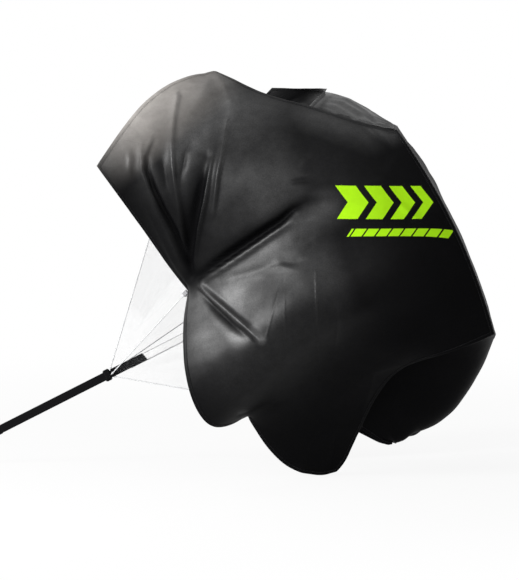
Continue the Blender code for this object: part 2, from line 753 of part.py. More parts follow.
def build_hook():
    """The snap hook's body: head and wire in one piece, with the gate's slot and pin hole."""
    hook = tube_as_mesh(tube("snap_hook", hook_outline(), HOOK_WIRE, "steel", HOOK))
    half_width, half_thick = HOOK_HEAD_WIDTH / 2, HOOK_HEAD_THICKNESS / 2
    head = box((HEAD_LOW_X, -half_width, -half_thick), (HEAD_HIGH_X, half_width, half_thick), HOOK_EDGE)
    boolean(hook, cutter("hook_head", head, HOOK), "UNION")
    bore_length = HOOK_HEAD_LENGTH + 2 * OVERRUN
    bore_x = (HEAD_LOW_X + HEAD_HIGH_X) / 2
    bore = moved(cylinder(STEM_DIAMETER + 2 * CLEARANCE, bore_length), (bore_x, 0, 0), (0, 90, 0))
    boolean(hook, cutter("stem_bore", bore, HOOK))
    slot_half = GATE_THICKNESS / 2 + GATE_SLOT_SIDE
    low = (HEAD_LOW_X - OVERRUN, GATE_Y - GATE_EYE_DIAMETER / 2 - GATE_SLOT_SIDE, -slot_half)
    high = (GATE_X + GATE_EYE_DIAMETER / 2 + GATE_SLOT_SIDE, half_width + OVERRUN, slot_half)
    boolean(hook, cutter("gate_slot", box(low, high), HOOK))
    hole = moved(
        cylinder(GATE_PIN_DIAMETER + 2 * CLEARANCE, HOOK_HEAD_THICKNESS + 2 * OVERRUN), (GATE_X, GATE_Y, 0)
    )
    boolean(hook, cutter("gate_pin_hole", hole, HOOK))
    pin = moved(cylinder(GATE_PIN_DIAMETER, HOOK_HEAD_THICKNESS), (GATE_X, GATE_Y, 0))
    mesh_object("gate_pin", pin, "steel", HOOK)


def build_gate():
    """The sprung gate, from its eye in the head to the hook's nose. Its frame is on the pin."""
    reach = GATE_X - (BIGHT_X + HOOK_BIGHT_RADIUS + HOOK_NOSE) - CLEARANCE
    bar = tube_as_mesh(tube("hook_gate", [(-reach, 0, 0), (-reach / 2, 0, 0), (0, 0, 0)], GATE_THICKNESS, "steel", GATE))
    eye = cylinder(GATE_EYE_DIAMETER, GATE_THICKNESS)
    boolean(bar, cutter("gate_eye", eye, GATE), "UNION")
    hole = cylinder(GATE_PIN_DIAMETER + 2 * CLEARANCE, GATE_THICKNESS + 2 * OVERRUN)
    boolean(bar, cutter("gate_eye_hole", hole, GATE))


def ring_outline():
    """The D-ring's wire in its XZ plane, with the bow at the origin and the bar at -RING_DEPTH."""
    half = RING_HEIGHT / 2
    bow = half
    line = arc((-bow, 0), bow, -90, 90, 14)
    line += arc((-RING_DEPTH + RING_CORNER, half - RING_CORNER), RING_CORNER, 90, 180, 4)
    line += arc((-RING_DEPTH + RING_CORNER, -half + RING_CORNER), RING_CORNER, 180, 270, 4)
    return [(x, 0, z) for x, z in line]


def build_ring():
    tube("d_ring", ring_outline(), RING_WIRE, "steel", RING, cyclic=True)


def keeper_levels():
    """X of the keeper's front, slot front, slot back and back face, from the ring's bar."""
    front = -(BARREL_DIAMETER / 2 - KEEPER_EDGE)
    slot_front = front - KEEPER_WALL
    slot_back = slot_front - WEBBING - 2 * CLEARANCE
    return front, slot_front, slot_back, slot_back - KEEPER_WALL


def build_keeper():
    """The slide on the belt: a flat case with a slot for the webbing and a barrel for the ring's bar."""
    front, slot_front, slot_back, back = keeper_levels()
    half_w, half_h = KEEPER_WIDTH / 2, KEEPER_HEIGHT / 2
    case = mesh_object(
        "ring_keeper", box((back, -half_w, -half_h), (front, half_w, half_h), KEEPER_EDGE), "black_plastic", KEEPER
    )
    boolean(case, cutter("barrel", cylinder(BARREL_DIAMETER, BARREL_LENGTH), KEEPER), "UNION")
    slot_half = BELT_WIDTH / 2 + CLEARANCE
    slot = box((slot_back, -half_w - OVERRUN, -slot_half), (slot_front, half_w + OVERRUN, slot_half))
    boolean(case, cutter("belt_slot", slot, KEEPER))
    bore = cylinder(RING_WIRE + 2 * BARREL_GAP, BARREL_LENGTH + 2 * OVERRUN)
    boolean(case, cutter("barrel_bore", bore, KEEPER))


def belt_line():
    """The belt's centre line in its XY plane, from the tail's end round to the sewn end.

    The front run lies on X = 0 and the buckle's plane on X = BUCKLE_X.
    """
    radius = BELT_SPREAD / 2
    half = BELT_RUN / 2
    back_x = -BELT_SPREAD
    wrap = (BUCKLE_BAR + WEBBING) / 2 + CLEARANCE
    layer = WEBBING + LAYER_GAP
    male_bar, female_bar = male_bar_y(), female_bar_y()
    tail = [(back_x - layer, male_bar - BELT_TAIL)]
    tail += swapped(eased(male_bar - EASE_LENGTH, back_x - layer, male_bar, BUCKLE_X - wrap))
    round_male = arc((BUCKLE_X, male_bar), wrap, 180, 0)[1:]
    lower = [(back_x, male_bar - EASE_LENGTH)]
    lower += arc((-radius, -half), radius, 180, 360, 20)
    upper = arc((-radius, half), radius, 0, 180, 20)
    round_female = arc((BUCKLE_X, female_bar), wrap, 0, -180)
    sewn = swapped(eased(female_bar, BUCKLE_X - wrap, female_bar + EASE_LENGTH, back_x - layer))[1:]
    sewn.append((back_x - layer, female_bar + BELT_SEWN_RETURN))
    return tail + round_male + lower + upper + round_female + sewn


def swapped(points):
    return [(b, a) for a, b in points]


def male_bar_y():
    return -BUCKLE_SPLIT / 2 - MALE_LENGTH + BUCKLE_BAR_INSET


def prong_root_y():
    return -BUCKLE_SPLIT / 2 + CLEARANCE


def female_bar_y():
    return BUCKLE_SPLIT / 2 + FEMALE_LENGTH - BUCKLE_BAR_INSET


def build_belt():
    ribbon("belt_webbing", belt_line(), BELT_WIDTH, WEBBING, "black_webbing", BELT)


def buckle_case(name, y0, y1):
    half_t, half_h = BUCKLE_THICKNESS / 2, BUCKLE_HEIGHT / 2
    block = box((-half_t, y0, -half_h), (half_t, y1, half_h), BUCKLE_EDGE)
    return mesh_object(name, block, "black_plastic", BUCKLE)


def add_webbing_bar(case, name, y0, y1, bar_y):
    """Opens the end of a buckle half for the webbing and puts a round bar across it."""
    half_t, half_h = BUCKLE_THICKNESS / 2 + OVERRUN, BELT_WIDTH / 2 + CLEARANCE
    opening = box((-half_t, y0, -half_h), (half_t, y1, half_h))
    boolean(case, cutter(name + "_opening", opening, BUCKLE))
    bar = moved(cylinder(BUCKLE_BAR, 2 * half_h + POCKET_SIDE_WALL), (0, bar_y, 0))
    boolean(case, cutter(name + "_bar", bar, BUCKLE), "UNION")


def build_buckle_female():
    """The socket half: a pocket open to the other half, a window in each edge, and the sewn webbing's bar."""
    start = BUCKLE_SPLIT / 2
    end = start + FEMALE_LENGTH
    case = buckle_case("buckle_female", start, end)
    half_t, half_h = BUCKLE_THICKNESS / 2, BUCKLE_HEIGHT / 2
    pocket = box(
        (-half_t + POCKET_WALL, start - OVERRUN, -half_h + POCKET_SIDE_WALL),
        (half_t - POCKET_WALL, start + POCKET_DEPTH, half_h - POCKET_SIDE_WALL),
    )
    boolean(case, cutter("buckle_pocket", pocket, BUCKLE))
    window_end = prong_root_y() + PRONG_LENGTH + PRONG_CLEARANCE
    window_start = window_end - BARB_LENGTH - 2 * PRONG_CLEARANCE
    window = box(
        (-half_t + POCKET_WALL, window_start, -half_h - OVERRUN),
        (half_t - POCKET_WALL, window_end, half_h + OVERRUN),
    )
    boolean(case, cutter("buckle_windows", window, BUCKLE))
    bar_y = female_bar_y()
    add_webbing_bar(case, "female", bar_y - BUCKLE_BAR / 2 - BUCKLE_SLOT, end + OVERRUN, bar_y)


def build_buckle_male():
    """The plug half: shoulder, middle tongue, slots for the prongs and the adjusting bar."""
    end = -BUCKLE_SPLIT / 2
    start = end - MALE_LENGTH
    case = buckle_case("buckle_male", start, end)
    half_x = BUCKLE_THICKNESS / 2 - POCKET_WALL - PRONG_CLEARANCE
    tongue = box(
        (-half_x, end - OVERRUN, -TONGUE_WIDTH / 2), (half_x, end + TONGUE_LENGTH, TONGUE_WIDTH / 2)
    )
    boolean(case, cutter("buckle_tongue", tongue, BUCKLE), "UNION")
    bar_y = male_bar_y()
    add_webbing_bar(case, "male", start - OVERRUN, bar_y + BUCKLE_BAR / 2 + BUCKLE_SLOT, bar_y)


def build_prong(name, side, frame):
    """One latch arm with its barb. Its frame is at the root of the arm, and side is 1 above, -1 below."""
    half_x = BUCKLE_THICKNESS / 2 - POCKET_WALL - PRONG_CLEARANCE
    inner, outer = -side * PRONG / 2, side * PRONG / 2
    tip, back = PRONG_LENGTH, PRONG_LENGTH - BARB_LENGTH
    barb = outer + side * BARB_HEIGHT
    outline = [(0, inner), (tip, inner), (tip, outer), (back + PRONG, barb), (back, barb), (back, outer), (0, outer)]
    bm = bmesh.new()
    face = bm.faces.new([bm.verts.new((-half_x, y, z)) for y, z in outline])
    raised = bmesh.ops.extrude_face_region(bm, geom=[face])["geom"]
    bmesh.ops.translate(bm, verts=[v for v in raised if isinstance(v, bmesh.types.BMVert)], vec=(2 * half_x, 0, 0))
    bmesh.ops.recalc_face_normals(bm, faces=bm.faces)
    mesh_object(name, bm, "black_plastic", frame)


def build_tail_loop():
    """The elastic loop round the belt and its tail. Its frame is in the middle of the two layers."""
    layers = 2 * WEBBING + LAYER_GAP + 2 * CLEARANCE
    half_x, half_h = layers / 2 + TAIL_LOOP_WALL / 2, BELT_WIDTH / 2 + CLEARANCE + TAIL_LOOP_WALL / 2
    outline = [(-half_h, -half_x), (half_h, -half_x), (half_h, half_x), (-half_h, half_x)]
    closed_band("tail_loop", outline, TAIL_LOOP_WIDTH, TAIL_LOOP_WALL, "black_webbing", TAIL)


def cut_flat_on_floor(objects):
    """Cuts the cloth that touches the floor flat, at floor level."""
    reach = CANOPY_DEPTH + CANOPY_WIDTH
    slab = box((-reach, -reach, -reach), (reach, reach, 0))
    tool = cutter("floor_level", slab, ORIGIN)
    for obj in objects:
        boolean(obj, tool)


def centre_over_origin():
    """Moves the whole part so that its box is centred over the origin."""
    low, high = [math.inf, math.inf], [-math.inf, -math.inf]
    for obj in PARTS.objects:
        if obj.type == "EMPTY":
            continue
        mesh = evaluated_mesh(obj)
        for v in mesh.vertices:
            place = obj.matrix_world @ v.co
            for k in range(2):
                low[k], high[k] = min(low[k], place[k]), max(high[k], place[k])
        bpy.data.meshes.remove(mesh)
    ORIGIN.location = (-(low[0] + high[0]) / 2, -(low[1] + high[1]) / 2, 0)
    bpy.context.view_layer.update()


clear_scene()
PARTS = new_collection("speed_parachute")
CUTTERS = new_collection("cutters")
ORIGIN = empty("part_origin")

CHUTE = empty("chute", ORIGIN, (0, 0, 0), (0, -TOW_PITCH_DEG, 0))
CROWN = build_crown()
SIDES = build_side_panels()
bpy.context.view_layer.update()
CHUTE_HEIGHT = -lowest_in_world([SIDES["near"], SIDES["far"]]) - HEM_FLAT
CHUTE.location.z = CHUTE_HEIGHT

# The hook's bight is on the tow line, level with the middle of the belt.
BIGHT_X = -(CHUTE_HEIGHT - KEEPER_HEIGHT / 2) / math.sin(math.radians(TOW_PITCH_DEG))
HEAD_LOW_X = BIGHT_X + HOOK_BIGHT_RADIUS + HOOK_MOUTH_LENGTH
HEAD_HIGH_X = HEAD_LOW_X + HOOK_HEAD_LENGTH
EYE_BAR_X = HEAD_HIGH_X + CLEARANCE + STEM_FLANGE + EYE_DEPTH
GATE_X = HEAD_LOW_X + GATE_EYE_DIAMETER / 2
GATE_Y = HOOK_BIGHT_RADIUS

STRAPS = empty("straps", CHUTE, (0, 0, 0), (WEBBING_TURN_DEG, 0, 0))
HOOK = empty("swivel_axis", CHUTE)
GATE = empty("gate_axis", HOOK, (GATE_X, GATE_Y, 0))
RING = empty("ring_axis", HOOK, (BIGHT_X, 0, 0), (0, TOW_PITCH_DEG, 0))
RING_OFFSET = (HOOK_WIRE + RING_WIRE) / 2 + CLEARANCE
PITCH = math.radians(TOW_PITCH_DEG)
RING.location = (BIGHT_X + RING_OFFSET * math.cos(PITCH), 0, -RING_OFFSET * math.sin(PITCH))
KEEPER = empty("keeper_axis", RING, (-RING_DEPTH, 0, 0))
SLOT_FRONT, SLOT_BACK = keeper_levels()[1:3]
BELT = empty("belt_frame", KEEPER, ((SLOT_FRONT + SLOT_BACK) / 2, 0, 0))
BUCKLE_X = -BELT_SPREAD - (BUCKLE_BAR + WEBBING) / 2 - CLEARANCE
BUCKLE = empty("buckle_frame", BELT, (BUCKLE_X, 0, 0))
TAIL_Y = male_bar_y() - BELT_TAIL * TAIL_LOOP_PLACE_SHARE
TAIL = empty("tail_frame", BELT, (-BELT_SPREAD - (WEBBING + LAYER_GAP) / 2, TAIL_Y, 0), (-90, -90, 0))

build_hem_loops_and_risers()
build_nets()
build_collar()
build_straps(CROWN)
build_swivel_eye()
build_hook()
build_gate()
build_ring()
build_keeper()
build_belt()
build_buckle_female()
build_buckle_male()
for prong_name, prong_side in (("prong_upper", 1), ("prong_lower", -1)):
    root = empty(prong_name + "_axis", BUCKLE, (0, prong_root_y(), prong_side * PRONG_OFFSET))
    build_prong(prong_name, prong_side, root)
build_tail_loop()
cut_flat_on_floor([SIDES["near"], SIDES["far"]])
centre_over_origin()
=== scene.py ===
"""Speed parachute for sprint training: the looks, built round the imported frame.

Every length is in metres. The canopy has a frame of its own, the chute frame: +X runs downwind along the
tow line, -Y is the side towards the viewer, and +Z is square to both.
"""

import json
import logging
import math
import random
from collections.abc import Callable
from dataclasses import dataclass, field
from enum import Enum

import bmesh
import bpy
import numpy as np
from mathutils import Matrix, Vector, noise


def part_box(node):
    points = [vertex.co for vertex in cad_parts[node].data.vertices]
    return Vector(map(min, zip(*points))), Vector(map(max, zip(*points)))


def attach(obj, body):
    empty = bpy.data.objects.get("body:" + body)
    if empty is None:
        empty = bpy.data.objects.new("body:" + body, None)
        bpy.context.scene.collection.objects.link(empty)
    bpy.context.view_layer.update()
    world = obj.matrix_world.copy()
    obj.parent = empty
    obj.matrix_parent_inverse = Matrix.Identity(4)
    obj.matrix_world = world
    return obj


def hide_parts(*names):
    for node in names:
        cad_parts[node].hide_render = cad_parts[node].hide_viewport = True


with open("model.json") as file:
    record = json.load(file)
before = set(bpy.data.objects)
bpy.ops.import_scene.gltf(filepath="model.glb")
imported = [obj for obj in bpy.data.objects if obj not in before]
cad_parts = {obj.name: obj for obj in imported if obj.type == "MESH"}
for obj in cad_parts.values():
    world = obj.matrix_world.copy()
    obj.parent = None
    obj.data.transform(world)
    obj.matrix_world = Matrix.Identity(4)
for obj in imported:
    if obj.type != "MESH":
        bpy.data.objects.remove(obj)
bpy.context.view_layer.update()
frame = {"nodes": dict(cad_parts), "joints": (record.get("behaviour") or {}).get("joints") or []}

LOG = logging.getLogger("speed_parachute")
MM = 0.001
# The cloth's UV map, and two numbers on the vertices: painted light at the rim (on the net, its density), and
# a painted sheen that drops to painted shade.
UV_NAME, PAINTED_LIGHT_AND_DENSITY, PAINTED_SHEEN_AND_SHADE = "cloth", "painted_light_and_density", "painted_sheen_and_shade"
Shares = tuple[float, float, float]
Points = list[tuple[float, float]]
Colour = tuple[float, ...]
BMesh, Material, Object = bmesh.types.BMesh, bpy.types.Material, bpy.types.Object


# Frames and projections


def moved(points: np.ndarray, matrix: Matrix) -> np.ndarray:
    """Points of a frame in the world, in an array whose last axis holds x, y and z."""
    m = np.array(matrix)
    return points @ m[:3, :3].T + m[:3, 3]


@dataclass(frozen=True)
class ChuteFrame:
    """The canopy's own frame, tilted along the tow line."""

    origin: tuple[float, float, float] = (0.019887, 0.000428, 0.299384)
    pitch_deg: float = 27.2
    webbing_turn_deg: float = -33.0

    def matrix(self) -> Matrix:
        """The turn and shift from the chute frame to the world."""
        turn = Matrix.Rotation(-math.radians(self.pitch_deg), 4, "Y")
        return Matrix.Translation(self.origin) @ turn

    def strap_matrix(self) -> Matrix:
        """The chute frame turned about the tow line, as the webbing lies."""
        return self.matrix() @ Matrix.Rotation(math.radians(self.webbing_turn_deg), 4, "X")

    def world(self, points: np.ndarray) -> np.ndarray:
        """Points of the chute frame in the world."""
        return moved(points, self.matrix())


@dataclass(frozen=True)
class ViewPlane:
    """The plane on which the photograph shows the object, in the photograph's pixels."""

    azimuth_deg: float = 5.0
    elevation_deg: float = 5.0
    pixel: float = 2.1 * MM
    anchor: tuple[float, float] = (205.1, 325.9)
    size: tuple[int, int] = (519, 580)

    def axes(self) -> tuple[np.ndarray, np.ndarray, np.ndarray]:
        """The world directions right, up and back towards the camera.

        Returns:
            The three directions, of length 1.
        """
        a, e = math.radians(self.azimuth_deg), math.radians(self.elevation_deg)
        right = np.array([math.cos(a), math.sin(a), 0.0])
        back = np.array([math.sin(a) * math.cos(e), -math.cos(a) * math.cos(e), math.sin(e)])
        return right, np.cross(back, right), back

    def pixels(self, points: np.ndarray, chute: ChuteFrame) -> np.ndarray:
        """Where the view shows world points.

        Args:
            points: an array of world points.
            chute: the frame whose origin is at the anchor.

        Returns:
            An array of pixel places, across and down.
        """
        right, up, _ = self.axes()
        away = points - np.array(chute.origin)
        across = self.anchor[0] + away @ right / self.pixel
        down = self.anchor[1] - away @ up / self.pixel
        return np.stack([across, down], axis=-1)


CHUTE = ChuteFrame()
VIEW = ViewPlane()


# Shader maths


def maths(operation: str, turned: bool = False) -> Callable[..., "Value"]:
    """Makes a method of Value that adds a Math node.

    Args:
        operation: the Math node's operation.
        turned: whether the value itself comes last.

    Returns:
        The method.
    """

    def method(self: "Value", *others: "Value | float") -> "Value":
        """The operation's result for this value and any other."""
        terms = (*others, self) if turned else (self, *others)
        return self.graph.node("ShaderNodeMath", {"operation": operation}, dict(enumerate(terms)))

    return method


class Value:
    """A socket with a number in it, on which sums are written as Python expressions."""

    __add__ = __radd__ = maths("ADD")
    __sub__, __rsub__ = maths("SUBTRACT"), maths("SUBTRACT", turned=True)
    __mul__ = __rmul__ = maths("MULTIPLY")
    __truediv__, __rtruediv__ = maths("DIVIDE"), maths("DIVIDE", turned=True)
    __pow__, __abs__ = maths("POWER"), maths("ABSOLUTE")
    sine, fraction = maths("SINE"), maths("FRACT")
    at_most, at_least = maths("MINIMUM"), maths("MAXIMUM")

    def __init__(self, graph: "Graph", socket: bpy.types.NodeSocket) -> None:
        """Wraps a socket of a graph."""
        self.graph = graph
        self.socket = socket

    def saw(self) -> "Value":
        """How far this value is from the middle between two whole numbers, 0.5 at most."""
        return abs(self.fraction() - 0.5)

    def wave(self, pitch: float) -> "Value":
        """A sine wave along this value, from -1 to 1."""
        return (self * (2 * math.pi / pitch)).sine()

    def step(self, low: float, high: float) -> "Value":
        """Rises smoothly from 0 to 1 between two limits, or falls where low is above high."""
        sockets = enumerate((self, min(low, high), max(low, high), float(low > high), float(low < high)))
        return self.graph.node("ShaderNodeMapRange", {"interpolation_type": "SMOOTHSTEP"}, dict(sockets))


class Graph:
    """A node tree that is filled by expressions."""

    def __init__(self, tree: bpy.types.NodeTree) -> None:
        """Starts on a tree."""
        self.tree = tree

    def node(
        self,
        kind: str,
        settings: dict[str, object] | None = None,
        sockets: dict[object, object] | None = None,
        out: int | str = 0,
    ) -> Value:
        """Adds a node.

        Args:
            kind: the node's type.
            settings: its properties, which are set first.
            sockets: values or links by socket name or number.
            out: the output that is wanted.

        Returns:
            That output.
        """
        made = self.tree.nodes.new(kind)
        for key, value in (settings or {}).items():
            setattr(made, key, value)
        for key, value in (sockets or {}).items():
            self.put(made.inputs[key], value)
        return Value(self, made.outputs[out])

    def put(self, socket: bpy.types.NodeSocket, value: "Value | float | Colour") -> None:
        """Links a value to a socket, or sets a number, vector or colour on it.

        Args:
            socket: an input.
            value: what it gets.
        """
        if isinstance(value, Value):
            self.tree.links.new(value.socket, socket)
        elif socket.type == "RGBA":
            socket.default_value = (*value[:3], 1.0)
        else:
            socket.default_value = value

    def object_place(self) -> Value:
        """The place on the object in metres."""
        return self.node("ShaderNodeTexCoord", out="Object")

    def cloth_place(self) -> tuple[Value, Value]:
        """Where a point lies on the cloth: its two UV numbers, in metres."""
        return self.split(self.node("ShaderNodeUVMap", {"uv_map": UV_NAME}))[:2]

    def split(self, vector: Value) -> tuple[Value, Value, Value]:
        """A vector's three numbers."""
        parts = self.node("ShaderNodeSeparateXYZ", None, {0: vector}).socket.node.outputs
        return tuple(Value(self, p) for p in parts)

    def joined(self, x: Value | float, y: Value | float, z: Value | float = 0.0) -> Value:
        """A vector from three numbers."""
        return self.node("ShaderNodeCombineXYZ", None, {0: x, 1: y, 2: z})

    def noise(self, place: Value, scale: float, detail: float = 3.0, roughness: float = 0.5) -> Value:
        """Noise about 0.5, by its lumps to the metre, its number of finer layers and their strength."""
        sockets = {"Vector": place, "Scale": scale, "Detail": detail, "Roughness": roughness}
        return self.node("ShaderNodeTexNoise", None, sockets)

    def wandering(self, place: Value, scale: float, reach: float) -> Value:
        """Coordinates that a noise moves about, so that a pattern on them wanders.

        Args:
            place: the coordinates.
            scale: the noise's lumps to the metre.
            reach: how far it moves them.

        Returns:
            The moved coordinates.
        """
        away = self.node("ShaderNodeTexNoise", None, {"Vector": place, "Scale": scale}, "Color")
        added = {0: away, 1: (reach, reach, reach), 2: place}
        return self.node("ShaderNodeVectorMath", {"operation": "MULTIPLY_ADD"}, added)

    def attribute(self, name: str) -> Value:
        """A number that the mesh carries by this name."""
        return self.node("ShaderNodeAttribute", {"attribute_name": name}, out="Fac")

    def blend(self, factor: Value | float, first: "Value | Colour", second: "Value | Colour") -> Value:
        """A colour between two colours, the first where the factor is 0."""
        sockets = {0: factor, 6: first, 7: second}
        return self.node("ShaderNodeMix", {"data_type": "RGBA"}, sockets, out=2)

    def bump(self, height: Value, distance: float, strength: float, after: Value | None = None) -> Value:
        """The normal of a bump, whose height is in shares of a distance in metres, on any earlier one."""
        sockets = {"Height": height, "Distance": distance, "Strength": strength}
        return self.node("ShaderNodeBump", None, sockets | ({} if after is None else {"Normal": after}))

    def weave(self, pitch: float, strength: float) -> Value:
        """The normal of a plain weave with threads at this pitch."""
        u, v = self.cloth_place()
        return self.bump(u.wave(pitch) * v.wave(pitch) * 0.5 + 0.5, 0.04 * MM, strength)

    def seen_directly(self) -> Value:
        """1 for rays from the camera, from glossy surfaces and through clear ones.

        Returns:
            0 for all other rays.
        """
        camera = self.node("ShaderNodeLightPath", out="Is Camera Ray")
        glossy = self.node("ShaderNodeLightPath", out="Is Glossy Ray")
        clear = self.node("ShaderNodeLightPath", out="Is Transmission Ray")
        return camera.at_least(glossy).at_least(clear)


class Surface(Graph):
    """A material's node tree with its Principled shader."""

    def __init__(self, name: str) -> None:
        """Starts a material of this name.

        Args:
            name: the material's name.
        """
        self.material = bpy.data.materials.new(name)
        self.material.use_nodes = True
        super().__init__(self.material.node_tree)
        self.shader = self.tree.nodes["Principled BSDF"]

    def done(self, **inputs: "Value | float | Colour") -> Material:
        """Feeds the Principled shader and gives the material.

        Args:
            inputs: values or links by input name, with underscores for spaces.

        Returns:
            The finished material.
        """
        for key, value in inputs.items():
            self.put(self.shader.inputs[key.replace("_", " ")], value)
        return self.material


def scaled(colour: Colour, share: float) -> Colour:
    """A colour made darker or lighter, up to white."""
    return tuple(min(1.0, c * share) for c in colour)


# Finishes


@dataclass(frozen=True)
class PrintFilm:
    """The printed mark, a film: a row of chevrons over a row of dashes, from its lower left corner."""

    name: str = "lime_print"
    size: tuple[float, float] = (0.262, 0.122)
    colour: Colour = (0.44, 0.90, 0.004)
    thread_pitch: float = 0.7 * MM
    edge: float = 0.6 * MM
    middle: float = 0.078
    half_height: float = 0.034
    lean: float = 0.75
    chevron_start: float = 0.030
    chevrons: tuple[float, ...] = (0.042, 0.035, 0.028, 0.021)
    chevron_gap: float = 0.017
    bar_middle: float = 0.015
    bar_half: float = 0.0085
    bar_lean: float = 0.6
    bar_ends: tuple[float, float] = (0.020, 0.232)
    bar_pitch: float = 0.0265
    bar_gap_share: float = 0.14

    def within(self, value: Value, low: float, high: float) -> Value:
        """1 between two limits and 0 outside, with soft edges."""
        rising = value.step(low - self.edge, low + self.edge)
        return rising * value.step(high + self.edge, high - self.edge)

    def make(self) -> Material:
        """Builds the material.

        Returns:
            The material.
        """
        g = Surface(self.name)
        worn = g.noise(g.object_place(), 55.0, 5.0, 0.6)
        return g.done(
            Base_Color=g.blend(worn.step(0.35, 0.7) * 0.15, self.colour, scaled(self.colour, 0.7)),
            Alpha=self.mask(*g.cloth_place()),
            Normal=g.bump(worn, 0.5 * MM, 0.3, g.weave(self.thread_pitch, 0.4)),
            Roughness=0.5,
            Specular_IOR_Level=0.15,
        )

    def mask(self, a: Value, b: Value) -> Value:
        """Where the mark is.

        Args:
            a: the distance from its left edge.
            b: the height above its lower edge.

        Returns:
            1 on the print and 0 beside it.
        """
        off = abs(b - self.middle)
        leaning = a + off * self.lean
        start, row = self.chevron_start, 0.0
        for width in self.chevrons:
            row = self.within(leaning, start, start + width).at_least(row)
            start += width + self.chevron_gap
        row = row * off.step(self.half_height + self.edge, self.half_height - self.edge)
        slope = a - b * self.bar_lean
        upright = self.within(b, self.bar_middle - self.bar_half, self.bar_middle + self.bar_half)
        soft = self.edge / self.bar_pitch
        gap = 0.5 - self.bar_gap_share / 2
        dash = (slope / self.bar_pitch).saw().step(gap + soft, gap - soft)
        return row.at_least(self.within(slope, *self.bar_ends) * upright * dash)


@dataclass(frozen=True)
class Taffeta:
    """Coated black taffeta, crinkled, with a painted sheen in its coat where light falls and painted light in
    its colour at its rim.
    """

    name: str
    colour: Colour = (0.0022, 0.0022, 0.0025)
    # The colour painted at the rim, standing in for light that shines through the cloth.
    lit_colour: Colour = (0.42, 0.395, 0.372)
    roughness: float = 0.50
    coat_roughness: float = 0.46
    thread_pitch: float = 0.7 * MM
    package_fold_pitch: float = 118 * MM

    def make(self) -> Material:
        """Builds the material.

        Returns:
            The material.
        """
        g = Surface(self.name)
        place, painted_light_and_density = g.object_place(), g.attribute(PAINTED_LIGHT_AND_DENSITY)
        worn = g.noise(place, 55.0, 5.0, 0.6)
        grain = g.noise(place, 420.0, 2.0, 0.6)
        cloudy = g.noise(place, 7.0).step(0.35, 0.75)
        base = g.blend(cloudy * 0.4, self.colour, scaled(self.colour, 1.8))
        # Painted sheen: the coat's weight follows strokes drawn where light falls, and drops in the folds'
        # grooves as painted shade.
        painted_sheen = g.attribute(PAINTED_SHEEN_AND_SHADE) * (0.85 + (worn - 0.5) * 0.6) * (grain * 1.2 + 0.48)
        return g.done(
            # Painted light: towards the rim the colour turns to the lit colour.
            Base_Color=g.blend((painted_light_and_density * (0.75 + worn * 0.5)).at_most(1.0), base, self.lit_colour),
            Roughness=self.roughness + (worn - 0.5) * 0.2 + painted_light_and_density * 0.1,
            Coat_Weight=painted_sheen.at_most(1.0),
            Normal=self.surface(g, place, grain),
            Specular_IOR_Level=0.02,
            Coat_Roughness=self.coat_roughness,
            Coat_IOR=1.80,
        )

    def surface(self, g: Surface, place: Value, grain: Value) -> Value:
        """The cloth's relief: weave, crinkles, the folds of its packing, soft waves and grain.

        Args:
            g: the material's graph.
            place: the place on the object.
            grain: the finest noise.

        Returns:
            The normal.
        """
        u, v = g.cloth_place()
        cracks = {"Vector": g.wandering(place, 9.0, 0.035), "Scale": 22.0}
        crinkle = g.node("ShaderNodeTexVoronoi", {"feature": "DISTANCE_TO_EDGE"}, cracks)
        wander = (g.noise(place, 14.0, 2.0) - 0.5) * 0.010
        pitch = self.package_fold_pitch
        layers = [
            (crinkle.step(0.0, 0.16), 0.30, 0.22),
            (((u + wander) / pitch).saw().step(0.0, 0.010), 0.40, 0.45),
            (((v + wander) / (pitch * 1.3)).saw().step(0.0, 0.010), 0.40, 0.45),
            (g.noise(g.joined(u, v * 3.0), 11.0, 4.0, 0.6), 2.4, 0.35),
            (g.noise(g.joined(u * 2.0, v * 13.0), 9.0, 4.0, 0.65), 0.8, 0.35),
            (g.noise(place, 60.0, 4.0, 0.65), 0.6, 0.30),
            (grain, 0.16, 0.35),
        ]
        normal = g.weave(self.thread_pitch, 0.3)
        for height, depth, strength in layers:
            normal = g.bump(height, depth * MM, strength, normal)
        return normal


@dataclass(frozen=True)
class NetMesh:
    """Fine white knitted mesh, seen through between its threads, and greyed as painted shade where it is
    dense.
    """

    name: str = "knitted_net"
    colour: Colour = (0.86, 0.87, 0.89)
    pitch: float = 2.0 * MM
    thread_share: float = 0.17
    thread_edge: float = 0.05
    thread_cover: float = 0.26
    knot_cover: float = 0.05
    least: float = 0.3

    def make(self) -> Material:
        """Builds the material.

        Returns:
            The material.
        """
        g = Surface(self.name)
        u, v = g.cloth_place()
        painted_light_and_density = g.attribute(PAINTED_LIGHT_AND_DENSITY)
        low, high = self.thread_share / 2 + self.thread_edge, self.thread_share / 2 - self.thread_edge
        left, right = (((u + v * lean) / self.pitch).saw().step(low, high) for lean in (0.5, -0.5))
        threads = left.at_least(right)
        knots = (v / self.pitch).saw().step(0.16, 0.02)
        alpha = (threads * self.thread_cover + knots * self.knot_cover) * (painted_light_and_density + self.least)
        base = g.blend(g.noise(g.object_place(), 40.0), self.colour, scaled(self.colour, 0.86))
        return g.done(
            # Painted shade: the net's colour greys where it is dense.
            Base_Color=g.blend(painted_light_and_density.step(0.75, 1.3), base, scaled(self.colour, 0.52)),
            Alpha=alpha.at_most(1.0),
            Normal=g.bump(threads, 0.2 * MM, 0.6),
            Roughness=0.62,
            Sheen_Weight=0.2,
        )


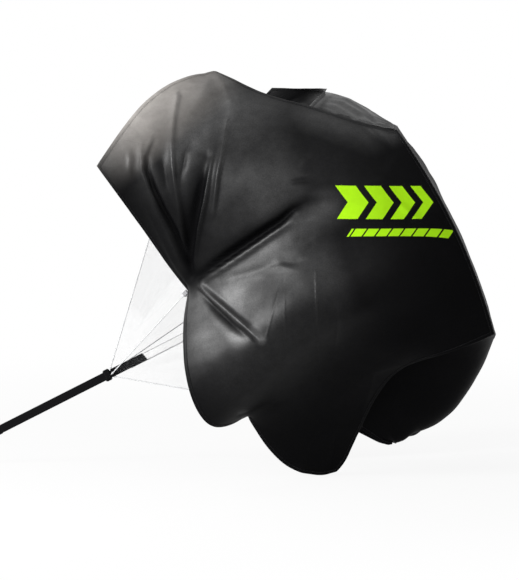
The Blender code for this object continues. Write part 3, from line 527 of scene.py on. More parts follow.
@dataclass(frozen=True)
class Webbing:
    """Flat woven webbing: ribs across its width, a herringbone between the edges, plain selvedges, and
    painted shade along the edges where an edge colour is given.
    """

    name: str
    colour: Colour
    width: float
    rib_pitch: float = 1.5 * MM
    yarn_pitch: float = 0.9 * MM
    edge_shade_colour: Colour | None = None
    roughness: float = 0.72
    sheen: float = 0.25
    specular: float = 0.4

    def make(self) -> Material:
        """Builds the material.

        Returns:
            The material.
        """
        g = Surface(self.name)
        along, across = g.cloth_place()
        half = self.width / 2
        zig = (across / (self.width / 4)).saw() * 2.0
        rib = (along + zig * 1.6 * MM).wave(self.rib_pitch) * 0.5 + 0.5
        yarn = across.wave(self.yarn_pitch) * 0.5 + 0.5
        selvedge = abs(across).step(half - 2.2 * MM, half - 1.6 * MM)
        worn = g.noise(g.object_place(), 240.0, 4.0, 0.65)
        slow = g.noise(g.object_place(), 18.0, 2.0)
        shade = (rib * 0.55 + yarn * 0.25 + worn * 0.35) * (1 - selvedge * 0.35)
        light = scaled(self.colour, 1.6)
        base = g.blend(shade.at_most(1.0), scaled(self.colour, 0.55), light)
        base = g.blend(slow.step(0.4, 0.8) * 0.2, base, light)
        # Painted shade: a darker band along the edges, where an edge colour is given.
        if self.edge_shade_colour is not None:
            base = g.blend(selvedge * 0.85, base, self.edge_shade_colour)
        return g.done(
            Base_Color=base,
            Roughness=self.roughness + (worn - 0.5) * 0.2,
            Normal=g.bump(worn, 0.08 * MM, 0.5, g.bump(rib * 0.7 + yarn * 0.3, 0.16 * MM, 0.8)),
            Sheen_Weight=self.sheen,
            Sheen_Roughness=0.4,
            Specular_IOR_Level=self.specular,
        )


@dataclass(frozen=True)
class BraidedCord:
    """A round braided cord: strands that cross in two directions."""

    name: str = "riser_braid"
    colour: Colour = (0.84, 0.85, 0.86)
    strand: float = 1.3 * MM

    def make(self) -> Material:
        """Builds the material.

        Returns:
            The material.
        """
        g = Surface(self.name)
        along, around = g.cloth_place()
        left, right = (along + around).wave(self.strand), (along - around).wave(self.strand)
        braid = left.at_least(right) * 0.5 + 0.5
        return g.done(
            Base_Color=g.blend(braid, scaled(self.colour, 0.5), self.colour),
            Roughness=0.62 + g.noise(g.object_place(), 400.0) * 0.2,
            Normal=g.bump(braid, 0.22 * MM, 0.9),
            Sheen_Weight=0.2,
        )


@dataclass(frozen=True)
class PlatedSteel:
    """Nickel-plated steel with fine scratches and duller hollows."""

    name: str = "plated_steel"
    colour: Colour = (0.46, 0.455, 0.44)
    roughness: float = 0.26

    def make(self) -> Material:
        """Builds the material.

        Returns:
            The material.
        """
        g = Surface(self.name)
        place = g.object_place()
        x, y, z = g.split(place)
        scratch = g.noise(g.joined(x * 0.12, y, z * 0.4), 3200.0, 2.0)
        dull = g.noise(place, 160.0, 5.0, 0.6)
        return g.done(
            Base_Color=g.blend(dull.step(0.42, 0.8), self.colour, scaled(self.colour, 0.72)),
            Roughness=self.roughness + dull * 0.16 + scratch.step(0.5, 0.8) * 0.1,
            Normal=g.bump(scratch * 0.6 + dull * 0.4, 0.02 * MM, 0.4),
            Metallic=1.0,
        )


@dataclass(frozen=True)
class MouldedPlastic:
    """Black moulded acetal: a fine spark grain, smoother where it is handled."""

    name: str = "moulded_plastic"
    colour: Colour = (0.016, 0.016, 0.017)
    roughness: float = 0.46

    def make(self) -> Material:
        """Builds the material.

        Returns:
            The material.
        """
        g = Surface(self.name)
        grain = g.noise(g.object_place(), 2600.0)
        handled = g.noise(g.object_place(), 70.0).step(0.45, 0.7)
        return g.done(
            Base_Color=g.blend(grain, self.colour, scaled(self.colour, 1.7)),
            Roughness=self.roughness - handled * 0.12 + grain * 0.06,
            Normal=g.bump(grain, 0.05 * MM, 0.6),
            Specular_IOR_Level=0.5,
        )


@dataclass(frozen=True)
class Thread:
    """Twisted sewing thread."""

    name: str
    colour: Colour

    def make(self) -> Material:
        """Builds the material.

        Returns:
            The material.
        """
        g = Surface(self.name)
        twist = g.noise(g.object_place(), 1500.0, 2.0)
        return g.done(
            Base_Color=g.blend(twist, self.colour, scaled(self.colour, 1.8)),
            Normal=g.bump(twist, 0.05 * MM, 0.5),
            Roughness=0.7,
            Specular_IOR_Level=0.1,
        )


class Finish(Enum):
    """The finishes of the object. Each is made once."""

    TAFFETA = Taffeta("canopy_taffeta")
    HEM = Taffeta("hem_taffeta", colour=(0.0028, 0.0028, 0.0031), thread_pitch=0.6 * MM)
    PRINT = PrintFilm()
    NET = NetMesh()
    TOW_WEBBING = Webbing("tow_webbing", (0.0038, 0.0038, 0.0042), 20 * MM, sheen=0.01, specular=0.03)
    BELT_WEBBING = Webbing("belt_webbing", (0.015, 0.015, 0.016), 38 * MM)
    # The bleached webbing carries painted shade along its edges.
    PALE_WEBBING = Webbing("bleached_webbing", (0.80, 0.80, 0.79), 20 * MM, edge_shade_colour=(0.28, 0.28, 0.29))
    TAPE = Webbing("narrow_tape", (0.022, 0.022, 0.023), 9 * MM, rib_pitch=0.9 * MM)
    GREY_TAPE = Webbing("loop_tape", (0.30, 0.30, 0.31), 9 * MM, rib_pitch=0.9 * MM)
    ELASTIC = Webbing("ribbed_elastic", (0.014, 0.014, 0.015), 14 * MM, rib_pitch=1.1 * MM)
    BRAID = BraidedCord()
    STEEL = PlatedSteel()
    PLASTIC = MouldedPlastic()
    BLACK_THREAD = Thread("black_thread", (0.030, 0.030, 0.032))
    WHITE_THREAD = Thread("white_thread", (0.72, 0.72, 0.71))

    def material(self) -> Material:
        """The finish's material."""
        return bpy.data.materials.get(self.value.name) or self.value.make()


# Making pieces


def cloth_mesh(*numbers: str) -> BMesh:
    """Makes a bmesh with the cloth's UV map.

    Args:
        numbers: the names of numbers that its vertices carry.

    Returns:
        The empty bmesh.
    """
    bm = bmesh.new()
    bm.loops.layers.uv.new(UV_NAME)
    for name in numbers:
        bm.verts.layers.float.new(name)
    return bm


def carry(bm: BMesh, verts: list, name: str, values: np.ndarray) -> None:
    """Stores a number of this name on each of some vertices."""
    for vert, value in zip(verts, values.reshape(-1)):
        vert[bm.verts.layers.float[name]] = float(value)


def add_grid(bm: BMesh, points: np.ndarray, uvs: np.ndarray, **layers: np.ndarray) -> list:
    """Adds a sheet over a grid of points.

    Args:
        bm: the mesh to add to.
        points: rows x columns x 3 world points.
        uvs: rows x columns x 2 places on the cloth.
        layers: numbers for the vertices, by name.

    Returns:
        The vertices, row by row.
    """
    rows, columns = points.shape[:2]
    uv_layer = bm.loops.layers.uv[UV_NAME]
    made = bmesh.ops.create_grid(bm, x_segments=columns - 1, y_segments=rows - 1, size=1.0)["verts"]
    places = dict(zip(made, uvs.reshape(-1, 2)))
    for vert, place in zip(made, points.reshape(-1, 3)):
        vert.co = place
    for name, values in layers.items():
        carry(bm, made, name, values)
    for face in {f for v in made for f in v.link_faces}:
        face.smooth = True
        for loop in face.loops:
            loop[uv_layer].uv = places[loop.vert]
    return made


def mesh_of(name: str, bm: BMesh) -> bpy.types.Mesh:
    """Makes a bmesh a mesh of this name, and frees it.

    Args:
        name: the mesh's name.
        bm: what it is made of.

    Returns:
        The mesh.
    """
    mesh = bpy.data.meshes.new(name)
    bm.to_mesh(mesh)
    bm.free()
    return mesh


def linked(name: str, data: bpy.types.ID) -> Object:
    """Makes an object of some data and links it to the scene."""
    bpy.context.scene.collection.objects.link(made := bpy.data.objects.new(name, data))
    return made


def along_path(places: np.ndarray) -> np.ndarray:
    """The distance along a line of points, at each point."""
    steps = np.linalg.norm(np.diff(places, axis=0), axis=1)
    return np.concatenate([[0.0], np.cumsum(steps)])


def interpolated(wanted: np.ndarray, far: np.ndarray, values: np.ndarray) -> np.ndarray:
    """Vectors at wanted distances along a line, from the values at the distances of its points."""
    return np.stack([np.interp(wanted, far, values[:, k]) for k in range(3)], axis=1)


def unit(vectors: np.ndarray) -> np.ndarray:
    """The vectors at length 1."""
    return vectors / np.maximum(np.linalg.norm(vectors, axis=-1, keepdims=True), 1e-12)


@dataclass
class Path:
    """A line of points, with a side and a normal direction at each."""

    places: np.ndarray
    sides: np.ndarray
    normals: np.ndarray

    @classmethod
    def facing(cls, places: np.ndarray, sides: np.ndarray) -> "Path":
        """A path whose normals are square to its line and sides.

        Args:
            places: the line's points.
            sides: roughly where the side is, at each point or for all.

        Returns:
            The path with true right angles.
        """
        ahead = unit(np.gradient(places, axis=0))
        sides = np.broadcast_to(sides, places.shape)
        normals = unit(np.cross(ahead, sides))
        return cls(places, unit(np.cross(normals, ahead)), normals)

    def at(self, side: float, lift: float) -> np.ndarray:
        """The line moved sideways and along its normals."""
        return self.places + self.sides * side + self.normals * lift

    def sampled(self, pitch: float, inset: float = 0.0) -> "Path":
        """The path with points at an even pitch.

        Args:
            pitch: the distance between points.
            inset: how far from both ends they stay.

        Returns:
            The new path.
        """
        far = along_path(self.places)
        count = max(2, int((far[-1] - 2 * inset) / pitch))
        wanted = np.linspace(inset, far[-1] - inset, count)
        parts = [interpolated(wanted, far, a) for a in (self.places, self.sides, self.normals)]
        return Path(parts[0], unit(parts[1]), unit(parts[2]))


def add_sweep(bm: BMesh, path: Path, profile: Points, closed: bool = False) -> None:
    """Sweeps a closed outline along a path.

    Args:
        bm: a mesh with the cloth's UV map.
        path: the line that it follows.
        profile: the outline's points, sideways and along the normal.
        closed: whether the path's end meets its start.
    """
    ring = [*profile, profile[0]]
    rows = np.stack([path.at(a, b) for a, b in ring])
    if closed:
        rows = np.concatenate([rows, rows[:, :1]], axis=1)
    far = along_path(rows[0])
    across = np.array([a for a, _ in ring])
    uvs = np.stack(np.broadcast_arrays(far[None, :], across[:, None]), axis=-1)
    verts = add_grid(bm, rows, uvs)
    faces = list({f for v in verts for f in v.link_faces})
    bmesh.ops.remove_doubles(bm, verts=verts, dist=1e-6)
    if not closed:
        rims = [e for e in {e for f in faces if f.is_valid for e in f.edges} if e.is_boundary]
        bmesh.ops.holes_fill(bm, edges=rims, sides=len(ring) + 1)


def flat_profile(width: float, thickness: float, round_share: float = 0.5) -> Points:
    """The outline of a strap's section: flat faces and rounded edges.

    Args:
        width: across the strap.
        thickness: through it.
        round_share: how much of the half thickness the edges round off.

    Returns:
        The outline's points.
    """
    w, t = width / 2, thickness / 2
    r = t * round_share
    corner = [(w - r, t), (w - 0.3 * r, t - 0.3 * r), (w, t - r)]
    right = corner + [(a, -b) for a, b in reversed(corner)]
    return right + [(-a, b) for a, b in reversed(right)]


def round_profile(radius: float, count: int = 12) -> Points:
    """The outline of a round section."""
    turns = [2 * math.pi * k / count for k in range(count)]
    return [(radius * math.cos(a), radius * math.sin(a)) for a in turns]


def rounded_box(half_a: float, half_b: float, corner: float, steps: int) -> Points:
    """The outline of a box with rounded corners.

    Args:
        half_a: how far the corners' centres are from the middle one way.
        half_b: how far they are the other way.
        corner: the corners' radius.
        steps: how many steps each corner has.

    Returns:
        The outline's points.
    """
    line = []
    for a, b, start in ((1, 1, 0), (-1, 1, 90), (-1, -1, 180), (1, -1, 270)):
        for turn in np.radians(np.linspace(start, start + 90, steps + 1)):
            line.append((a * half_a + corner * math.cos(turn), b * half_b + corner * math.sin(turn)))
    return line


@dataclass(frozen=True)
class Stitching:
    """Rows of stitches with one thread."""

    length: float = 2.9 * MM
    pitch: float = 3.6 * MM
    thread: float = 0.55 * MM

    def add_row(self, bm: BMesh, path: Path, side: float, lift: float, inset: float = 0.0) -> None:
        """Adds a row of stitches beside a path.

        Args:
            bm: the mesh to add to.
            path: the line that the row follows.
            side: its distance to the path's side.
            lift: its height above the path.
            inset: how far from both ends it stays.
        """
        row = Path(path.at(side, lift), path.sides, path.normals).sampled(self.pitch, inset)
        ahead = unit(np.gradient(row.places, axis=0)) * self.length
        frames = np.stack([ahead, row.sides * self.thread, row.normals * self.thread, row.places], axis=-1)
        grain = bmesh.new()
        bmesh.ops.create_icosphere(grain, subdivisions=1, radius=0.5)
        grain.verts.index_update()
        points = [v.co.copy() for v in grain.verts]
        faces = [[v.index for v in f.verts] for f in grain.faces]
        grain.free()
        for frame_rows in frames:
            matrix = Matrix([*frame_rows.tolist(), (0.0, 0.0, 0.0, 1.0)])
            verts = [bm.verts.new(matrix @ p) for p in points]
            for corners in faces:
                bm.faces.new([verts[k] for k in corners]).smooth = True


def piece(
    name: str,
    bm: BMesh,
    finish: Finish,
    body: str,
    replaced: tuple[str, ...] = (),
    turn_out: bool = True,
) -> Object:
    """Makes a bmesh a finished piece of the scene.

    Args:
        name: the piece's name.
        bm: its mesh, in the world, which is freed.
        finish: its finish.
        body: the body that it rides on.
        replaced: CAD nodes that it stands for.
        turn_out: whether its faces are turned outwards.

    Returns:
        The piece.
    """
    if turn_out:
        bmesh.ops.recalc_face_normals(bm, faces=bm.faces)
    mesh = mesh_of(name, bm)
    mesh.materials.append(finish.material())
    made = linked(name, mesh)
    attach(made, body)
    if replaced:
        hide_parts(*replaced)
    LOG.info("%s: %d faces on %s", name, len(mesh.polygons), body)
    return made


# Canopy


class FoldShape(Enum):
    """How a fold's section looks: its height against the distance from its line, over its width."""

    RIDGE = "ridge"
    GROOVE = "groove"
    PLEAT = "pleat"
    CREASE = "crease"
    LEAN = "lean"
    POCKET = "pocket"

    def height(self, d: np.ndarray) -> np.ndarray:
        """The section's height.

        Args:
            d: signed distances from the fold's line, in its widths.

        Returns:
            Heights, mostly from -1 to 1.
        """
        if self is FoldShape.RIDGE:
            return bell(d, 1.5)
        if self is FoldShape.GROOVE:
            return -bell(d, 1.5)
        if self is FoldShape.CREASE:
            return bell(d * 3.0, 1.0)
        if self is FoldShape.LEAN:
            return bell(d / np.where(d < 0, 1.7, 0.7), 1.5)
        if self is FoldShape.POCKET:
            quick = 0.62 * bell(d / 0.55, 1.8) + 0.38 * bell(d / 2.6, 2.0)
            return -np.where(d < 0, bell(d / 1.15, 1.8), quick)
        return bell(d, 1.6) - 0.75 * bell(d + 1.7, 1.6)


def bell(d: np.ndarray, power: float) -> np.ndarray:
    """A bell curve that is 1 at 0; the higher the power, the broader its top."""
    return np.exp(-np.abs(d) ** power)


@dataclass(frozen=True)
class Fold:
    """A fold in the cloth, or a stroke on it, along a line.

    The line is given as x, y, x, y and so on. The fold starts and ends at shares of its height, and its
    width goes from the first to the last share that widths gives.
    """

    line: tuple[float, ...]
    height: float
    width: float
    shape: FoldShape = FoldShape.RIDGE
    start: float = 1.0
    end: float = 0.0
    widths: tuple[float, float] = (0.55, 1.3)

    def lift(self, places: np.ndarray) -> np.ndarray:
        """How far the fold lifts the cloth.

        Args:
            places: points on the plane that the line is given in.

        Returns:
            The lift at each, in metres.
        """
        line = np.array(self.line, float).reshape(-1, 2)
        lengths = np.linalg.norm(np.diff(line, axis=0), axis=1)
        total, far = lengths.sum(), 0.0
        best = np.full(places.shape[:-1], np.inf)
        signed = np.zeros_like(best)
        share = np.zeros_like(best)
        for a, b, length in zip(line, line[1:], lengths):
            ahead = (b - a) / length
            away = places - a
            along = np.clip(away @ ahead, 0.0, length)
            offset = away - along[..., None] * ahead
            distance = np.linalg.norm(offset, axis=-1)
            side = ahead[0] * offset[..., 1] - ahead[1] * offset[..., 0]
            nearer = distance < best
            best = np.where(nearer, distance, best)
            signed = np.where(nearer, np.sign(side) * distance, signed)
            share = np.where(nearer, (far + along) / total, share)
            far += length
        fade_in = np.clip(share / 0.25, 0, 1)
        fade_out = np.clip((1 - share) / 0.45, 0, 1)
        rise = self.start + (1 - self.start) * fade_in
        fall = self.end + (1 - self.end) * fade_out * fade_out * (3 - 2 * fade_out)
        width = self.width * (self.widths[0] + (self.widths[1] - self.widths[0]) * share)
        return self.height * rise * fall * self.shape.height(signed / width)


# Short names for the tables that follow.
R, G, P, C = FoldShape.RIDGE, FoldShape.GROOVE, FoldShape.PLEAT, FoldShape.CREASE
L, K = FoldShape.LEAN, FoldShape.POCKET
EVEN = (0.85, 0.95)

# Folds of the side towards the viewer, drawn where the view shows them, in its pixels.
NEAR_FOLDS = (
    Fold((197, 277, 225, 258, 252, 240, 279, 222, 293, 209, 306, 203, 327, 201),
         0.020, 7.5, K, 0.5, 0.1, (0.75, 0.55)),
    Fold((199, 282, 225, 266, 252, 248, 280, 229, 300, 214), 0.0055, 2.8, R, 0.4, 0.2, EVEN),
    Fold((262, 240, 290, 224, 312, 222, 322, 214), 0.0026, 5.0, R, 0.2),
    Fold((199, 287, 215, 301, 236, 319, 261, 341), 0.0105, 3.4, R, 0.7, 0.8, (0.8, 1.1)),
    Fold((198, 291, 212, 306, 233, 326, 253, 341), 0.0088, 3.6, G, 0.5, 0.2, EVEN),
    Fold((205, 288, 223, 302, 243, 320, 257, 334), 0.0028, 3.0, G, 0.5, 0.2, EVEN),
    Fold((184, 268, 172, 235, 160, 212, 150, 190, 143, 170, 144, 155, 151, 140),
         0.0110, 3.3, L, 0.3, 0.3, EVEN),
    Fold((187, 268, 175, 235, 163, 212, 153, 190, 146, 170, 147, 157, 153, 143),
         0.0100, 2.8, G, 0.5, 0.3, EVEN),
    Fold((184, 262, 180, 222, 176, 190, 173, 165, 172, 141, 174, 114, 177, 96),
         0.0080, 2.8, L, 0.3, 0.7, EVEN),
    Fold((189, 262, 193, 229, 198, 202, 203, 175, 206, 157), 0.0190, 7.4, K, 0.4, 0.25, (0.6, 1.2)),
    Fold((192, 262, 197, 229, 203, 202, 208, 175, 213, 151), 0.0100, 2.6, L, 0.5, 0.1, EVEN),
    Fold((212, 215, 217, 176, 222, 152, 227, 124), 0.0060, 2.2, L, 0.3, 0.9, EVEN),
    Fold((188, 276, 185, 240, 178, 205, 172, 180), 0.0100, 8.5, G, 0.9, 0.0, (0.6, 1.1)),
    Fold((180, 176, 184, 150, 198, 135), 0.0060, 4.5, G, 0.3, 0.1, EVEN),
    Fold((166, 190, 163, 168, 160, 152), 0.0030, 4.0, G, 0.2, 0.1, EVEN),
    Fold((129, 174, 130, 160, 127, 146), 0.0040, 2.2, L, 0.5, 0.1, EVEN),
    Fold((142, 166, 141, 150, 142, 140), 0.0030, 1.8, L, 0.5, 0.1, EVEN),
    Fold((184, 282, 160, 236, 139, 196, 130, 176), 0.0040, 4.5, R, 0.4),
    Fold((212, 71, 224, 88, 230, 102, 231, 120, 228, 142), 0.0085, 6.5, L, 1.0, 0.0, (0.9, 1.2)),
    Fold((212, 71, 200, 96, 182, 130, 176, 160), 0.0030, 9.0, R, 1.0),
    Fold((281, 280, 273, 308, 268, 328, 259, 368), 0.0011, 1.8, C, 0.3, 0.1, EVEN),
    Fold((284, 284, 284, 310, 285, 336, 285, 362), 0.0008, 1.7, C, 0.3, 0.1, EVEN),
    Fold((315, 272, 316, 300, 317, 330, 320, 384), 0.0026, 1.9, C, 0.3, 0.1, EVEN),
    Fold((338, 312, 337, 330, 334, 352), 0.0030, 2.2, L, 0.3, 0.1, EVEN),
    Fold((220, 281, 242, 275, 266, 268, 280, 262), 0.0024, 5.0, G, 0.3, 0.1, EVEN),
    Fold((276, 260, 292, 263, 310, 260), 0.0013, 3.6, G, 0.1, 0.0, EVEN),
    Fold((290, 239, 304, 240, 316, 236), 0.0013, 3.4, G, 0.1, 0.0, EVEN),
    Fold((262, 270, 280, 267, 302, 271), 0.0014, 2.8, R, 0.1, 0.0, EVEN),
    Fold((287, 184, 299, 181, 314, 181), 0.0042, 3.2, G, 0.1, 0.0, EVEN),
    Fold((296, 168, 306, 156, 320, 149), 0.0026, 3.0, R, 0.1, 0.0, EVEN),
    Fold((240, 416, 262, 410, 282, 402, 300, 396), 0.0046, 6.0, G, 0.8),
    Fold((357, 430, 364, 408, 374, 372, 398, 364, 440, 358), 0.0022, 6.0, L, 0.8, 0.2, EVEN),
    Fold((300, 480, 306, 448, 308, 420), 0.0035, 7.0, R, 0.4),
    Fold((330, 478, 334, 450, 336, 425), 0.0030, 6.0, G, 0.4),
    Fold((364, 129, 372, 136, 380, 141), 0.0030, 2.4, L, 0.5, 0.1, EVEN),
    Fold((374, 131, 384, 136, 394, 146), 0.0030, 2.4, L, 0.5, 0.1, EVEN),
    Fold((388, 196, 420, 222, 452, 236), 0.0018, 5.0, R, 0.1),
    Fold((400, 150, 384, 176, 356, 190), 0.0022, 6.0, R, 0.1),
    Fold((430, 236, 456, 250, 474, 272), 0.0022, 5.0, G, 0.1),
)


# Creases of the flap above, drawn the same way.
TOP_FOLDS = (
    Fold((322, 104, 336, 108, 352, 118, 366, 127), 0.0050, 2.4, L, 0.2, 0.1, EVEN),
    Fold((326, 100, 342, 103, 360, 114, 376, 128), 0.0045, 2.2, L, 0.2, 0.1, EVEN),
    Fold((331, 97, 348, 101, 366, 112, 384, 129), 0.0040, 2.2, L, 0.2, 0.1, EVEN),
    Fold((318, 108, 330, 113, 344, 121), 0.0045, 2.4, L, 0.2, 0.1, EVEN),
    Fold((352, 112, 370, 119, 390, 132), 0.0035, 2.0, G, 0.2, 0.1, EVEN),
)

# Swells that keep the cloth tight behind the two corners of the lower hem, on the panel's cloth in metres.
BOTTOM_FOLDS = (
    Fold((0.103, 0.352, 0.112, 0.300, 0.135, 0.230), 0.019, 0.032, R, 0.25, 0.2, EVEN),
    Fold((0.517, 0.352, 0.508, 0.300, 0.485, 0.230), 0.019, 0.032, R, 0.25, 0.2, EVEN),
)

# Pulls across the crown, from its four corners towards its middle.
CROWN_FOLDS = (
    Fold((0.02, 0.02, 0.12, 0.09, 0.23, 0.19), 0.004, 0.016, R, 0.3, 0.0),
    Fold((0.02, 0.05, 0.09, 0.15, 0.20, 0.22), 0.004, 0.014, P, 0.3, 0.0),
    Fold((0.54, 0.02, 0.45, 0.10, 0.33, 0.19), 0.004, 0.016, P, 0.3, 0.0),
    Fold((0.53, 0.06, 0.46, 0.15, 0.36, 0.22), 0.004, 0.014, G, 0.3, 0.0),
    Fold((0.02, 0.46, 0.12, 0.38, 0.23, 0.29), 0.004, 0.016, P, 0.3, 0.0),
    Fold((0.06, 0.47, 0.16, 0.40, 0.26, 0.32), 0.004, 0.013, R, 0.3, 0.0),
    Fold((0.54, 0.46, 0.44, 0.38, 0.33, 0.29), 0.004, 0.016, R, 0.3, 0.0),
    Fold((0.50, 0.47, 0.42, 0.41, 0.32, 0.33), 0.004, 0.013, G, 0.3, 0.0),
)

# Where a sheen is painted on the cloth's coat, drawn the same way; a height of 1 is the full painted sheen.
SIDE_SHEEN_STROKES = (
    Fold((208, 288, 250, 264, 290, 236, 324, 208), 0.68, 24.0, R, 0.7, 0.8, (1.0, 0.7)),
    Fold((199, 302, 200, 314, 202, 328), 1.15, 25.0, R, 1.0, 0.9, (0.9, 0.9)),
    Fold((220, 303, 250, 308), 0.95, 31.0, R, 1.0, 0.6, (0.8, 1.0)),
    Fold((204, 312, 221, 326, 240, 338), 0.95, 12.0, R, 1.0, 0.8, (0.9, 0.9)),
    Fold((252, 328, 261, 340), 0.90, 6.0, R, 1.0, 1.0, (0.9, 0.9)),
    Fold((106, 158, 143, 108, 212, 80), 0.62, 25.0, R, 1.0, 1.0, (0.75, 1.15)),
    Fold((200, 215, 212, 120), 0.28, 52.0, R, 0.5, 1.0, (0.9, 1.0)),
    Fold((232, 150, 250, 106), 0.50, 40.0, R, 0.8, 1.0, (1.0, 1.0)),
    Fold((160, 205, 150, 165), 0.16, 26.0, R, 0.6, 0.8, (0.9, 1.0)),
    Fold((235, 185, 310, 165), 0.46, 66.0, R, 0.6, 0.3, (1.0, 1.0)),
    Fold((235, 372, 310, 320), 0.22, 43.0, R, 1.0, 0.8, (1.0, 1.0)),
    Fold((290, 280, 350, 260), 0.34, 46.0, R, 1.0, 0.3, (1.0, 1.0)),
    Fold((362, 128, 392, 136), 0.40, 8.0, R, 0.5, 1.0, (1.0, 1.0)),
    Fold((186, 150, 206, 128, 224, 108), 0.90, 21.0, R, 0.8, 1.0, (1.0, 1.0)),
    Fold((294, 112, 330, 122, 366, 134), 0.42, 17.0, R, 0.6, 0.8, (1.0, 1.0)),
)
SHEEN_STROKES = {
    "near": SIDE_SHEEN_STROKES,
    "far": SIDE_SHEEN_STROKES,
    "top": (
        Fold((333, 103, 348, 110, 392, 134), 1.15, 12.0, R, 1.0, 0.6, (0.9, 1.1)),
        Fold((306, 109, 329, 91), 1.30, 6.0, R, 1.0, 1.0, (1.0, 1.0)),
    ),
}
# A point in the cup, in the chute frame.
INSIDE = np.array([0.25, 0.0, 0.0])


@dataclass
class Panel:
    """One side of the canopy as a cage of points, in shares of its depth, width and height."""

    name: str
    size: tuple[float, float]
    level: int
    sharp: tuple[int, ...] = ()
    finer: bool = False
    cage: list[list[Vector]] = field(default_factory=list)
    grid: np.ndarray = field(default_factory=lambda: np.zeros((2, 2, 3)))
    relief: np.ndarray | float = 0.0

    def round_off(self) -> None:
        """Rounds the cage into a fine grid of points in the world, as the CAD model's cage is rounded."""
        rows, columns = len(self.cage), len(self.cage[0])
        bm = bmesh.new()
        bm.loops.layers.uv.new(UV_NAME)
        crease = bm.verts.layers.float.new("crease_vert")
        bmesh.ops.create_grid(bm, x_segments=columns - 1, y_segments=rows - 1, size=1.0, calc_uvs=True)
        for k, vert in enumerate(bm.verts):
            i, j = divmod(k, columns)
            vert.co = self.cage[i][j]
            if i == rows - 1 and j in self.sharp:
                vert[crease] = 1.0
        mesh = mesh_of(self.name, bm)
        cage = linked(self.name, mesh)
        rounding = cage.modifiers.new("rounding", "SUBSURF")
        rounding.levels = rounding.render_levels = self.level
        rounding.boundary_smooth = "PRESERVE_CORNERS"
        bpy.context.view_layer.update()
        fine = bpy.data.meshes.new_from_object(cage.evaluated_get(bpy.context.evaluated_depsgraph_get()))
        places = np.zeros(len(fine.vertices) * 3)
        fine.vertices.foreach_get("co", places)
        corner_vert = np.zeros(len(fine.loops), int)
        fine.loops.foreach_get("vertex_index", corner_vert)
        corner_uv = np.zeros(len(fine.loops) * 2)
        fine.uv_layers[UV_NAME].uv.foreach_get("vector", corner_uv)
        uv = np.zeros((len(fine.vertices), 2))
        uv[corner_vert] = corner_uv.reshape(-1, 2)
        steps = 2**self.level
        shape = ((rows - 1) * steps + 1, (columns - 1) * steps + 1)
        order = np.lexsort((self.ranked(uv[:, 0], shape[1]), self.ranked(uv[:, 1], shape[0])))
        self.grid = CHUTE.world(places.reshape(-1, 3)[order].reshape(*shape, 3))
        if self.finer:
            self.grid = self.doubled(self.grid)
        bpy.data.objects.remove(cage)
        bpy.data.meshes.remove(mesh)
        bpy.data.meshes.remove(fine)

    @staticmethod
    def doubled(grid: np.ndarray) -> np.ndarray:
        """Adds a row between each two rows, on a smooth curve through them.

        Args:
            grid: rows of points.

        Returns:
            The grid with its old and new rows.
        """
        padded = np.concatenate([2 * grid[:1] - grid[1:2], grid, 2 * grid[-1:] - grid[-2:-1]])
        between = (9 * (padded[1:-2] + padded[2:-1]) - padded[:-3] - padded[3:]) / 16
        finer = np.empty((2 * len(grid) - 1, *grid.shape[1:]))
        finer[::2], finer[1::2] = grid, between
        return finer

    @staticmethod
    def ranked(values: np.ndarray, count: int) -> np.ndarray:
        """Which row or column each value is in, when all are filled alike.

        Args:
            values: one of the two UV numbers of every vertex.
            count: how many rows or columns there are.

        Returns:
            The number of the row or column of each vertex.
        """
        order = np.argsort(values, kind="stable")
        rank = np.empty(len(values), int)
        rank[order] = np.arange(len(values)) // (len(values) // count)
        return rank

    def normals(self) -> np.ndarray:
        """The outward normal at each point of the grid.

        Returns:
            An array like the grid.
        """
        across = np.gradient(self.grid, axis=1)
        down = np.gradient(self.grid, axis=0)
        found = unit(np.cross(across, down))
        middle = self.grid.reshape(-1, 3).mean(axis=0) - CHUTE.world(INSIDE)
        if (found.reshape(-1, 3) @ middle).sum() < 0:
            found = -found
        return found

    def shares(self) -> np.ndarray:
        """Where each point is on the panel, from 0 to 1 along the hem and from the crown to the hem."""
        across, down = (np.linspace(0, 1, count) for count in self.grid.shape[1::-1])
        return np.stack(np.meshgrid(across, down), axis=-1)

    def cloth(self) -> np.ndarray:
        """Where each point is on the cloth, in metres."""
        return self.shares() * np.array(self.size)

    def lift(self, heights: np.ndarray) -> None:
        """Moves the points along their normals."""
        self.grid = self.grid + self.normals() * heights[..., None]

    def soften_corner(self, column: int, aim: tuple[int, int], reach: float, depth: float) -> None:
        """Rounds off a corner of the hem by drawing it into the panel.

        Args:
            column: the column of the grid that ends in the corner.
            aim: the row and column of the point that it is drawn towards.
            reach: how far from the corner the cloth moves.
            depth: how far the corner moves.
        """
        corner = self.grid[-1, column]
        towards = unit(self.grid[aim] - corner)
        away = np.linalg.norm(self.grid - corner, axis=-1)
        shift = depth * np.clip(1 - away / reach, 0, 1) ** 2
        self.grid = self.grid + towards * shift[..., None]

    def edge(self, rim: np.ndarray, inner: np.ndarray, normals: np.ndarray) -> Path:
        """A path along an edge of the grid, its side pointing into the cloth, with fewer points."""
        skip = max(1, self.level - 3)
        return Path(rim[::skip], unit(inner - rim)[::skip], normals[::skip])

    def free_edges(self) -> list[Path]:
        """The first side edge, the hem and the last side edge.

        Returns:
            Their paths.
        """
        g, n = self.grid, self.normals()
        lines = [(g[:, 0], g[:, 3], n[:, 0]), (g[-1], g[-4], n[-1]), (g[:, -1], g[:, -4], n[:, -1])]
        return [self.edge(*line) for line in lines]

    def sewn_edge(self) -> Path:
        """The edge at the crown."""
        return self.edge(self.grid[0], self.grid[3], self.normals()[0])


